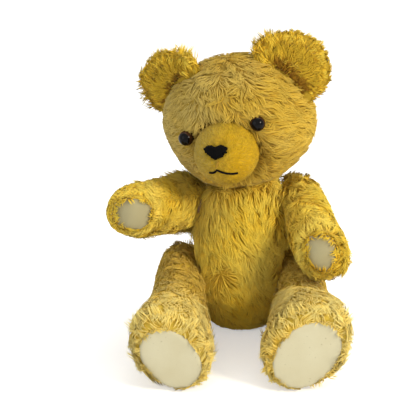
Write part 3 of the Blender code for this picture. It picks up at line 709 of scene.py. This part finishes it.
room_at_seams = room_from(("torso", "ear_right", "ear_left"), 0.0004, 0.006, 0.7)
room_at_muzzle = room_from(("muzzle",), 0.0003, 0.006, 0.75)
room_at_eyes = room_from(("eye_right", "eye_left"), 0.0003, 0.007, 0.5)
by_muzzle = outside_of(["muzzle"])


def head_room(points, normals):
    """Longest over the crown and on the left side, and thinned on the right cheek."""
    high, aside, ahead = head_places(points)
    grown = 0.9 + 0.3 * np.clip(aside, -0.8, 1) + 0.25 * np.clip(high, 0, 1)
    return grown * np.minimum(room_at_seams(points), np.minimum(room_at_muzzle(points), room_at_eyes(points)))


def head_stand(points, normals):
    """Upright round the muzzle's seam, and fluffed up over the crown and the left side."""
    high, aside, ahead = head_places(points)
    away = np.array([by_muzzle.find_nearest(point)[3] for point in points])
    seam = 1.1 * np.exp(-((away / 0.006) ** 2)) * np.clip(1 + 1.2 * high, 0.2, 1)
    return seam + 0.35 * np.clip(high, 0, 1) + 0.3 * np.clip(aside, 0, 1)


def head_worn(points, normals):
    high, aside, ahead = head_places(points)
    return np.clip(0.2 - 0.5 * aside + 0.2 * ripple(points, 0.04, 18), 0, 0.6)


head_cloth = cover("head_cloth", "head", grid=24, depth=HEAD_PILE_DEPTH)
skin_places = np.array([vertex.co for vertex in head_cloth.data.vertices])
high, aside, ahead = head_places(skin_places)
hollow = (
    RIGHT_CHEEK_HOLLOW * np.exp(-(((high + 0.3) / 0.42) ** 2)) * np.clip(-aside, 0, 1)
    + CHIN_HOLLOW * np.exp(-(((high + 0.65) / 0.2) ** 2)) * np.clip(ahead, 0, 1)
    - LEFT_CHEEK_FULLNESS * np.exp(-(((high + 0.2) / 0.42) ** 2)) * np.clip(aside, 0, 1)
)
for vertex, way, depth in zip(head_cloth.data.vertices, unit(skin_places - np.array(HEAD_MIDDLE)), hollow):
    vertex.co -= Vector(way * depth)
settle(head_cloth, "head", HEAD_BACKING, "faded_plush", "head")
head_pile = grow_pile(
    "head_pile",
    head_cloth,
    HEAD_LOCKS,
    HEAD_TUFTS,
    HEAD_PILE_LENGTH,
    head_comb,
    seed=22,
    room=head_room,
    worn=head_worn,
    width=0.0009,
    rise=0.4,
    wave=0.0011,
    gather=0.6,
    scatter=0.28,
    stand=head_stand,
)
settle(head_pile, "head", HEAD_PILE, "faded_plush")


# The muzzle: a separate cap of short, velvety pile in two halves, sewn to the face.
# The seam between the halves runs down from the nose.
MUZZLE_PILE = 12500
# VELVET_ROOT is painted shade at the roots of the muzzle's pile, and also the darker grain of its backing cloth.
VELVET_ROOT = display_colour(0.66, 0.52, 0.15)
VELVET = display_colour(0.78, 0.64, 0.15)
VELVET_TIP = display_colour(0.83, 0.70, 0.17)
VELVET_RICH = display_colour(0.86, 0.67, 0.06)
VELVET_BACKING = grained_material("velvet_backing", VELVET_ROOT, VELVET, 0.95, 400.0, 0.0004)
VELVET_PILE = pile_material(
    "velvet_pile", VELVET_ROOT, VELVET, VELVET_TIP, VELVET_RICH, FADED_WORN, 26.0, 0.8, 0.3
)


def muzzle_comb(points, normals):
    """Away from the tip of the muzzle."""
    tip = np.array(MUZZLE_MIDDLE + FACE_WAY * 0.03)
    return laid_along(points - tip, normals)


def muzzle_worn(points, normals):
    aside = (points - np.array(MUZZLE_MIDDLE)) @ np.array(LEFT_WAY)
    return np.clip(0.1 - aside * 15, 0, 0.35)


muzzle_cloth = cover("muzzle_cloth", "muzzle", grid=20, depth=0.0001)
settle(muzzle_cloth, "head", VELVET_BACKING, "short_pile", "muzzle")
muzzle_pile = grow_pile(
    "muzzle_pile",
    muzzle_cloth,
    MUZZLE_PILE,
    2600,
    0.0034,
    muzzle_comb,
    seed=23,
    room=room_beside(room_from(("nose", "lip_stitch", "mouth_stitch"), 0.0003, 0.0025, 0.4)),
    worn=muzzle_worn,
    width=0.0006,
    rise=0.6,
    wave=0.0002,
    gather=0.4,
    scatter=0.5,
    stations=2,
)
settle(muzzle_pile, "head", VELVET_PILE, "short_pile")


# The nose and mouth: a black satin-stitched nose, with the lip in one long stitch each side
# and the muzzle's seam between them, all sewn through the muzzle by hand.
NOSE_THREADS = 25
NOSE_THREAD_RADIUS = 0.00055
NOSE_STATIONS = 9
NOSE_RAGGED = 0.0009
NOSE_TOP = (
    (-0.0114, 0.0026), (-0.0086, 0.0045), (-0.0047, 0.0057), (-0.0018, 0.0046), (0.0007, 0.0043),
    (0.0031, 0.0051), (0.0056, 0.0030), (0.0082, -0.0006)
)
NOSE_FOOT = (
    (-0.0114, 0.0021), (-0.0086, -0.0006), (-0.0067, -0.0028), (-0.0042, -0.0043), (-0.0018, -0.0058),
    (0.0007, -0.0043), (0.0027, -0.0024), (0.0056, -0.0009), (0.0082, -0.0010)
)
BLACK_THREAD = grained_material(
    "black_thread", display_colour(0.02, 0.02, 0.02), display_colour(0.07, 0.06, 0.06), 0.7, 900.0, 0.0003,
    specular=0.05
)
# The thread down the muzzle's seam is real, and its brownish colour is a painted seam shadow.
SEAM_SHADE_THREAD = grained_material(
    "seam_shade_thread", display_colour(0.56, 0.43, 0.12), display_colour(0.68, 0.54, 0.18), 0.8, 900.0, 0.0003
)


def recast(name, node, voxel, smoothing, swell=0.0):
    """A closed even skin over a thin solid of any outline, rounded at its edges."""
    item = bpy.data.objects.new(name, nodes[node].data.copy())
    bpy.context.scene.collection.objects.link(item)
    remesh = item.modifiers.new("even_faces", "REMESH")
    remesh.mode = "VOXEL"
    remesh.voxel_size = voxel
    shape = item.evaluated_get(bpy.context.evaluated_depsgraph_get())
    form = bmesh.new()
    form.from_mesh(shape.to_mesh())
    bpy.data.objects.remove(item)
    smoothed(form, smoothing)
    form.normal_update()
    for vertex in form.verts:
        vertex.co += vertex.normal * swell
    return piece_from(form, name)


def threads(name, routes, radius, sides=6):
    """Closed round threads, each along a list of points."""
    form = bmesh.new()
    for route in routes:
        along = unit(np.gradient(route, axis=0))
        side = unit(np.cross(along, (0.31, 0.22, 0.93)))
        lift = np.cross(side, along)
        rings = []
        for place, across, up in zip(route, side, lift):
            turns = [2 * math.pi * step / sides for step in range(sides)]
            rings.append(
                [form.verts.new(place + radius * (across * math.cos(turn) + up * math.sin(turn))) for turn in turns]
            )
        for ring, following in zip(rings, rings[1:]):
            for step in range(sides):
                after = (step + 1) % sides
                form.faces.new((ring[step], ring[after], following[after], following[step]))
        form.faces.new(rings[0][::-1])
        form.faces.new(rings[-1])
    bmesh.ops.recalc_face_normals(form, faces=form.faces)
    return piece_from(form, name)


def nose_routes():
    """Side by side over the padding, from the upper edge to a lower edge of uneven stitches."""
    rng = np.random.default_rng(51)
    under = outside_of(["nose", "muzzle"])
    low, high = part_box("nose")
    middle = (low + high) / 2
    across = LEFT_WAY
    up = across.cross(-FACE_WAY)
    routes = []
    for aside in np.linspace(NOSE_TOP[0][0], NOSE_TOP[-1][0], NOSE_THREADS):
        top = np.interp(aside, *zip(*NOSE_TOP)) + rng.uniform(-0.3, 0.3) * NOSE_RAGGED
        foot = np.interp(aside, *zip(*NOSE_FOOT)) + rng.uniform(-1, 1) * NOSE_RAGGED
        route = []
        for height in np.linspace(foot, top, NOSE_STATIONS):
            start = middle + across * aside + up * height + FACE_WAY * 0.03
            route.append(under.ray_cast(start, -FACE_WAY)[0])
        route = np.array(route)
        route[0] -= np.array(FACE_WAY) * NOSE_THREAD_RADIUS
        route[-1] -= np.array(FACE_WAY) * NOSE_THREAD_RADIUS
        routes.append(route)
    return routes


nose_padding = recast("nose_padding", "nose", 0.0007, 1, -0.0009)
settle(nose_padding, "head", BLACK_THREAD, "black_thread", "nose")
settle(threads("nose_stitches", nose_routes(), NOSE_THREAD_RADIUS), "head", BLACK_THREAD, "black_thread")
refinish("lip_stitch", BLACK_THREAD)
# The seam's thread takes the painted seam shadow's colour.
refinish("mouth_stitch", SEAM_SHADE_THREAD)


# The eyes: domes of dark amber glass over a black pupil, on wire shanks drawn into the head.
PUPIL_RINGS = 6
EYE_RINGS = 20
EYE_SEGMENTS = 36


def glass_material(name, colour, light):
    return grained_material(name, colour, light, 0.03, 700.0, 0.00001, specular=0.1)


PUPIL_GLASS = glass_material(
    "pupil_glass", display_colour(0.03, 0.03, 0.03), display_colour(0.06, 0.05, 0.05)
)
AMBER_GLASS = glass_material(
    "amber_glass", display_colour(0.15, 0.09, 0.05), display_colour(0.28, 0.17, 0.09)
)


def set_eye(side_name):
    low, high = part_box("eye_" + side_name)
    middle = (low + high) / 2
    radius = max(high - low) / 2
    outward = (middle - HEAD_MIDDLE).normalized()
    gaze = (outward + FACE_WAY * 1.6).normalized()
    form = bmesh.new()
    bmesh.ops.create_uvsphere(form, u_segments=EYE_SEGMENTS, v_segments=EYE_RINGS, radius=radius)
    edge = radius * math.cos(math.pi * PUPIL_RINGS / EYE_RINGS)
    for face in form.faces:
        face.material_index = 0 if face.calc_center_median().z > edge else 1
    bmesh.ops.transform(
        form,
        matrix=Matrix.Translation(middle) @ gaze.to_track_quat("Z", "Y").to_matrix().to_4x4(),
        verts=form.verts,
    )
    item = piece_from(form, "eye_dome_" + side_name)
    settle(item, "head", PUPIL_GLASS, "dark_glass", "eye_" + side_name)
    item.data.materials.append(AMBER_GLASS)


for side_name in ("right", "left"):
    set_eye(side_name)


# The ears: flat cups of plush, each lined in front with a patch of brown cloth.
# Their pile stands out shaggily round the rim.
EAR_LOCKS = 5000
EAR_TUFTS = 800
EAR_PILE_LENGTH = 0.0085
EAR_SHAG = {"right": ((-0.7, 0, -0.7), (0.6, 0, 0.8)), "left": ((-1.0, 0, -0.1),)}
# Two ends of the brown patch of each ear, as shares of the ear's width and height, and half its breadth.
BROWN_PATCH = {"right": ((0.64, 0.60), (0.36, -0.04)), "left": ((0.32, 0.48), (0.76, -0.05))}
PATCH_BREADTH = 0.0065
EAR_FULLNESS = 0.0050
EAR_THINNED = 0.0010
LINING_LOCKS = 1700
LINING_VOXEL = 0.0013
# BROWN_ROOT is painted shade at the roots of the lining's nap, and also the darker grain of its backing cloth.
BROWN_ROOT = display_colour(0.48, 0.33, 0.07)
BROWN = display_colour(0.62, 0.45, 0.11)
BROWN_TIP = display_colour(0.68, 0.50, 0.14)
EAR_GOLD = display_colour(0.86, 0.71, 0.20)
BROWN_BACKING = grained_material("brown_backing", BROWN_ROOT, BROWN, 0.95, 300.0, 0.0006)
BROWN_PILE = pile_material("brown_pile", BROWN_ROOT, BROWN, BROWN_TIP, BROWN, EAR_GOLD, 30.0, 0.3)


def make_ear(side_name, seed):
    node = "ear_" + side_name
    low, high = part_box(node)
    middle = (low + high) / 2
    away = (middle - HEAD_MIDDLE).normalized()
    root = np.array(middle - away * 0.022)

    def ear_comb(points, normals):
        ways = laid_along(points - root, normals)
        return turned_about(ways, normals, 0.4 * ripple(points, 0.03, seed) + 0.4 * ripple(points, 0.012, seed + 60))

    def shag(points):
        return (unit(points - np.array(middle)) @ unit(np.array(EAR_SHAG[side_name])).T).max(1)

    def from_patch(points):
        ends = [
            np.array((low.x + (high.x - low.x) * across, low.z + (high.z - low.z) * up))
            for across, up in BROWN_PATCH[side_name]
        ]
        line = ends[1] - ends[0]
        flat = points[:, [0, 2]] - ends[0]
        share = np.clip(flat @ line / (line @ line), 0, 1)
        return np.linalg.norm(flat - share[:, None] * line, axis=1)

    def rim_worn(points, normals):
        """The lining's own brown nap shows along the head, and gold pile lies over the rest."""
        edge = PATCH_BREADTH * (1 + 0.2 * ripple(points, 0.012, seed + 80))
        return np.clip((from_patch(points) - edge) / 0.003, 0, 1)

    def ear_room(points, normals):
        """Shaggier on the side that has been least handled."""
        grown = np.clip(0.4 + 1.1 * shag(points), 0.6, 1.4) * at_seams(points)
        return np.where((from_patch(points) < PATCH_BREADTH) & (normals @ np.array(FACE_WAY) > 0), 0, grown)

    at_seams = room_from(("head", "ear_lining_" + side_name), 0.0004, 0.006, 0.6)
    cloth = cover(node + "_cloth", node, grid=14, smoothing=2, beside=("head",))
    skin_places = np.array([vertex.co for vertex in cloth.data.vertices])
    shaggy = shag(skin_places)
    fuller = EAR_FULLNESS * np.clip(shaggy, 0, 1) ** 2 * (at_seams(skin_places) > 0.8)
    fuller -= EAR_THINNED * np.clip(-shaggy, 0, 1)
    for vertex, way, swell in zip(cloth.data.vertices, unit(skin_places - np.array(middle)), fuller):
        vertex.co += Vector(way * swell)
    settle(cloth, "head", GOLD_BACKING, "golden_plush", node)
    pile = grow_pile(
        node + "_pile",
        cloth,
        EAR_LOCKS,
        EAR_TUFTS,
        EAR_PILE_LENGTH,
        ear_comb,
        seed=seed,
        room=ear_room,
        width=0.001,
        scatter=0.28,
        roundness=14.0,
        softness=0.2,
    )
    settle(pile, "head", GOLD_PILE, "golden_plush")

    lining_node = "ear_lining_" + side_name
    lining = recast(lining_node + "_cloth", lining_node, LINING_VOXEL, 4)
    settle(lining, "head", BROWN_BACKING, "brown_cloth", lining_node)
    nap = grow_pile(
        lining_node + "_nap",
        lining,
        LINING_LOCKS,
        260,
        0.0085,
        ear_comb,
        seed=seed + 100,
        room=room_beside(room_from(("head",), 0.0004, 0.012, 0.5)),
        worn=rim_worn,
        rise=0.7,
        width=0.0009,
        softness=0.3,
    )
    settle(nap, "head", BROWN_PILE, "brown_cloth")


for seed, side_name in enumerate(("right", "left"), 31):
    make_ear(side_name, seed)


# The arms and legs: stuffed tubes of plush that turn on the disc joints, each with a cream pad.
# Their pile is combed along the limb and round the pads, and has matted where the bear was held.
ARM_LOCKS = 7500
ARM_TUFTS = 1000
ARM_PILE_LENGTH = 0.0095
LEG_LOCKS = 9500
LEG_TUFTS = 1400
LEG_PILE_LENGTH = 0.0115
PAD_RING = 0.014
# FOOT_ROOT is painted shade at the roots of the legs' pile.
FOOT_ROOT = display_colour(0.80, 0.65, 0.24)
FOOT_GOLD = display_colour(0.95, 0.83, 0.42)
FOOT_TIP = display_colour(0.98, 0.91, 0.58)
# THIGH_GOLD is the darker colour that the legs' pile takes towards the hip.
THIGH_GOLD = display_colour(0.84, 0.70, 0.28)
LIMB_BACKING = grained_material(
    "limb_backing", display_colour(0.76, 0.63, 0.20), display_colour(0.87, 0.75, 0.31), 0.95, 220.0, 0.0008
)
ARM_PILE = pile_material(
    "arm_pile", ROOT_GOLD, PILE_GOLD, TIP_GOLD, DEEP_GOLD, WORN_GOLD, rich_scale=22.0, rich_amount=0.35,
    shade=0.12
)
LEG_PILE = pile_material(
    "leg_pile", FOOT_ROOT, FOOT_GOLD, FOOT_TIP, DEEP_GOLD, THIGH_GOLD, rich_scale=20.0, rich_amount=0.25,
    shade=0.14
)


def pad_facing(pad_node, node):
    """Which way a pad faces: across its thin way, away from the middle of its limb."""
    corners = np.array([vertex.co for vertex in nodes[pad_node].data.vertices])
    middle = corners.mean(0)
    thin = np.linalg.svd(corners - middle, full_matrices=False)[2][2]
    low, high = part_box(node)
    out = middle - np.array((low + high) / 2)
    return middle, thin * np.sign(thin @ out), np.linalg.norm(corners - middle, axis=1).max()


def make_limb(limb, side_name, joint_name, pad_name, locks, tufts, pile_finish, length, seed, worn, swirl,
              fullness):
    node = limb + "_" + side_name
    pad_node = pad_name + "_" + side_name
    joint_place = np.array(joints[joint_name + "_" + side_name]["pos_m"])
    pad_middle, facing, pad_radius = pad_facing(pad_node, node)
    reach = pad_middle - joint_place
    limb_length = np.linalg.norm(reach)
    along = reach / limb_length

    def limb_comb(points, normals):
        """Along the limb, and outward round the pad on the side that it faces."""
        from_pad = points - pad_middle
        beyond = np.maximum(np.linalg.norm(from_pad, axis=1) - pad_radius, 0)
        weight = np.clip(normals @ facing - 0.1, 0, 1) * np.exp(-((beyond / PAD_RING) ** 2)) * 2.5
        ways = laid_along(np.tile(along, (len(points), 1)), normals)
        ways = ways + laid_along(from_pad, normals) * weight[:, None]
        turns = 0.4 * ripple(points, 0.04, seed) + swirl * ripple(points, 0.015, seed + 200)
        return turned_about(laid_along(ways, normals), normals, turns)

    # For the legs this holds the darkening towards the hip.
    def limb_worn(points, normals):
        return worn((points - joint_place) @ along / limb_length, points)

    def limb_stand(points, normals):
        """Fluffed up over the top of the shoulder."""
        share = (points - joint_place) @ along / limb_length
        return 0.6 * shoulder * np.clip(normals[:, 2], 0, 1) * np.clip(1 - 3 * share, 0, 1)

    def limb_room(points, normals):
        share = (points - joint_place) @ along / limb_length
        return fullness(share, normals) * np.minimum(at_joint(points), at_pad(points))

    shoulder = 1.0 if limb == "arm" else 0.0
    at_joint = room_from(("torso", "head"), 0.0004, 0.006, 0.85)
    at_pad = room_from((pad_node,), 0.0002, 0.003, 0.75)
    cloth = cover(node + "_cloth", node, grid=18, beside=("torso", "head", pad_node))
    settle(cloth, node, LIMB_BACKING, "golden_plush", node)
    grown = grow_pile(
        node + "_pile",
        cloth,
        locks,
        tufts,
        length,
        limb_comb,
        seed=seed,
        room=limb_room,
        worn=limb_worn,
        roundness=6.0,
        rise=0.5,
        scatter=0.26,
        width=0.00115,
        stand=limb_stand,
    )
    settle(grown, node, pile_finish, "golden_plush")


def arm_worn(share, points):
    return np.clip(0.15 + 0.2 * ripple(points, 0.03, 61), 0, 0.4)


def thigh_darkening(share, points):
    """The thighs are darker than the feet, most towards the hip."""
    return np.clip((0.62 - share) * 4 + 0.3 * ripple(points, 0.02, 62), 0, 0.9)


def right_arm_fullness(share, normals):
    """Longer on the shoulder and under the arm, and worn short at the paw's end."""
    upward = np.clip(normals[:, 2], 0, 1) * np.clip(1 - 2.5 * share, 0, 1)
    under = np.clip(-normals[:, 2], 0, 1)
    return 1 + 0.7 * upward + 0.7 * under * np.clip(3 - 3.5 * share, 0, 1) - 0.65 * np.clip((share - 0.75) / 0.2, 0, 1)


def left_arm_fullness(share, normals):
    """Longer on the outer side of the paw, and worn short over the shoulder."""
    outer = np.clip(normals[:, 0], 0, 1)
    by_neck = np.clip(normals[:, 2], 0, 1) * np.clip(0.5 - normals[:, 0], 0, 1) * np.clip(1 - 3 * share, 0, 1)
    by_paw = 0.6 * outer * np.clip(3 * share - 2, 0, 1)
    return 1 + by_neck + by_paw - 0.4 * outer * np.clip(1 - 1.6 * share, 0, 1)


def right_leg_fullness(share, normals):
    """Longer on the inner side of the foot, and worn short on the outer side of the thigh."""
    foot = np.clip(2.5 * share - 1, 0, 1)
    by_sole = np.clip((share - 0.7) / 0.2, 0, 1)
    inner = np.clip(normals[:, 0], 0, 1)
    outer = np.clip(-normals[:, 0], 0, 1)
    under = 0.4 * np.clip(-normals[:, 2], 0, 1) * foot
    return 1 + (1.5 * inner * (1 - by_sole) + 0.5 * outer) * foot - 0.6 * outer * (1 - foot) - 0.1 * by_sole - under


def left_leg_fullness(share, normals):
    return right_leg_fullness(share, normals * np.array((-1, 1, 1)))


for seed, side_name, arm_fullness, leg_fullness in (
    (41, "right", right_arm_fullness, right_leg_fullness), (42, "left", left_arm_fullness, left_leg_fullness)
):
    make_limb("arm", side_name, "shoulder", "paw_pad", ARM_LOCKS, ARM_TUFTS, ARM_PILE, ARM_PILE_LENGTH,
              seed, arm_worn, 1.1, arm_fullness)
    make_limb("leg", side_name, "hip", "sole_pad", LEG_LOCKS, LEG_TUFTS, LEG_PILE, LEG_PILE_LENGTH,
              seed + 10, thigh_darkening, 0.7, leg_fullness)


# The pads: pieces of cream felted cloth, stitched over the soles and the palms.
# The palms are greyer from handling, and the soles have faint stains.
PAD_VOXEL = 0.0011
PAD_TURNS = 25
FRINGES = {
    # how far in its roots reach, length
    "paw_pad_right": (0.0018, 0.0065),
    "paw_pad_left": (0.0028, 0.0070),
    "sole_pad_right": (0.0011, 0.0048),
    "sole_pad_left": (0.0011, 0.0048),
}
FRINGE_LOCKS = 600
FRINGE_TUFTS = 120
SOLE_CREAM = display_colour(0.82, 0.80, 0.69)
SOLE_STAIN = display_colour(0.74, 0.70, 0.56)
PALM_CREAM = display_colour(0.66, 0.63, 0.49)
PALM_STAIN = display_colour(0.60, 0.55, 0.40)


def pad_material(name, colour, stain):
    """Worn felted cloth: a fine nap, faint handling stains and a few specks."""
    material = bpy.data.materials.new(name)
    material.use_nodes = True
    tree = material.node_tree
    shader = tree.nodes["Principled BSDF"]
    shader.inputs["Roughness"].default_value = 0.85
    shader.inputs["Specular IOR Level"].default_value = 0.2
    shader.inputs["Sheen Weight"].default_value = 0.15
    tint, _ = mottled(tree, colour, stain, 42.0, 5.0)
    specks, _ = mottled(tree, (0, 0, 0, 1), (1, 1, 1, 1), 330.0, 2.0)
    few = tree.nodes.new("ShaderNodeMapRange")
    few.inputs["From Min"].default_value = 0.68
    few.inputs["From Max"].default_value = 0.74
    few.inputs["To Max"].default_value = 0.35
    tree.links.new(specks, few.inputs["Value"])
    marked = tree.nodes.new("ShaderNodeMix")
    marked.data_type = "RGBA"
    marked.inputs["B"].default_value = display_colour(0.45, 0.38, 0.22)
    tree.links.new(few.outputs["Result"], marked.inputs["Factor"])
    tree.links.new(tint, marked.inputs["A"])
    tree.links.new(marked.outputs["Result"], shader.inputs["Base Color"])
    _, nap = mottled(tree, colour, stain, 1500.0, 2.0)
    raised(tree, nap, 0.35, 0.0003)
    return material


SOLE_CLOTH = pad_material("sole_cloth", SOLE_CREAM, SOLE_STAIN)
PALM_CLOTH = pad_material("palm_cloth", PALM_CREAM, PALM_STAIN)


def within_pad(pad, middle, facing):
    """A measure of how far in from the pad's edge a place lies."""
    across = unit(np.cross(facing, (0.31, 0.22, 0.93)))
    upward = np.cross(facing, across)

    def turn_and_reach(places):
        return np.arctan2((places - middle) @ upward, (places - middle) @ across), np.hypot(
            (places - middle) @ upward, (places - middle) @ across
        )

    turns, reaches = turn_and_reach(np.array([vertex.co for vertex in pad.data.vertices]))
    ends = np.linspace(-math.pi, math.pi, PAD_TURNS)
    edge = [reaches[(turns >= start) & (turns < end)].max() for start, end in zip(ends, ends[1:])]

    def within(places):
        turn, reach = turn_and_reach(places)
        return np.interp(turn, (ends[1:] + ends[:-1]) / 2, edge, period=2 * math.pi) - reach

    return within


def grow_fringe(pad, pad_node, limb_node, pile, seed):
    """The limb's pile lies over the sewn edge of its pad, further in some places than in others."""
    width, length = FRINGES[pad_node]
    middle, facing, radius = pad_facing(pad_node, limb_node)
    within = within_pad(pad, middle, facing)

    def fringe_comb(points, normals):
        ways = laid_along(middle - points, normals)
        return turned_about(ways, normals, 1.1 * ripple(points, 0.014, seed + 9))

    def fringe_room(points, normals):
        edge = width * (1 + 0.4 * ripple(points, 0.025, seed + 7))
        return np.where((within(points) < edge) & (normals @ facing > -0.6), 1.0, 0.0)

    fringe = grow_pile(
        pad_node + "_fringe",
        pad,
        FRINGE_LOCKS,
        FRINGE_TUFTS,
        length,
        fringe_comb,
        seed=seed,
        room=fringe_room,
        rise=0.6,
        roundness=6.0,
        scatter=0.45,
        tries=24,
    )
    settle(fringe, limb_node, pile, "golden_plush")


for seed, side_name in enumerate(("right", "left"), 71):
    for pad_name, limb, material, pile in (
        ("paw_pad", "arm", PALM_CLOTH, ARM_PILE), ("sole_pad", "leg", SOLE_CLOTH, LEG_PILE)
    ):
        pad_node = pad_name + "_" + side_name
        pad = recast(pad_node + "_cloth", pad_node, PAD_VOXEL, 5, 0.0003)
        settle(pad, limb + "_" + side_name, material, "cream_cloth", pad_node)
        grow_fringe(pad, pad_node, limb + "_" + side_name, pile, seed)


# The sizes of the frame's solids and of the finished bear, side by side.
low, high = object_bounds()
{"solid": [list(solid_low), list(solid_high)], "visual": [list(low), list(high)]}
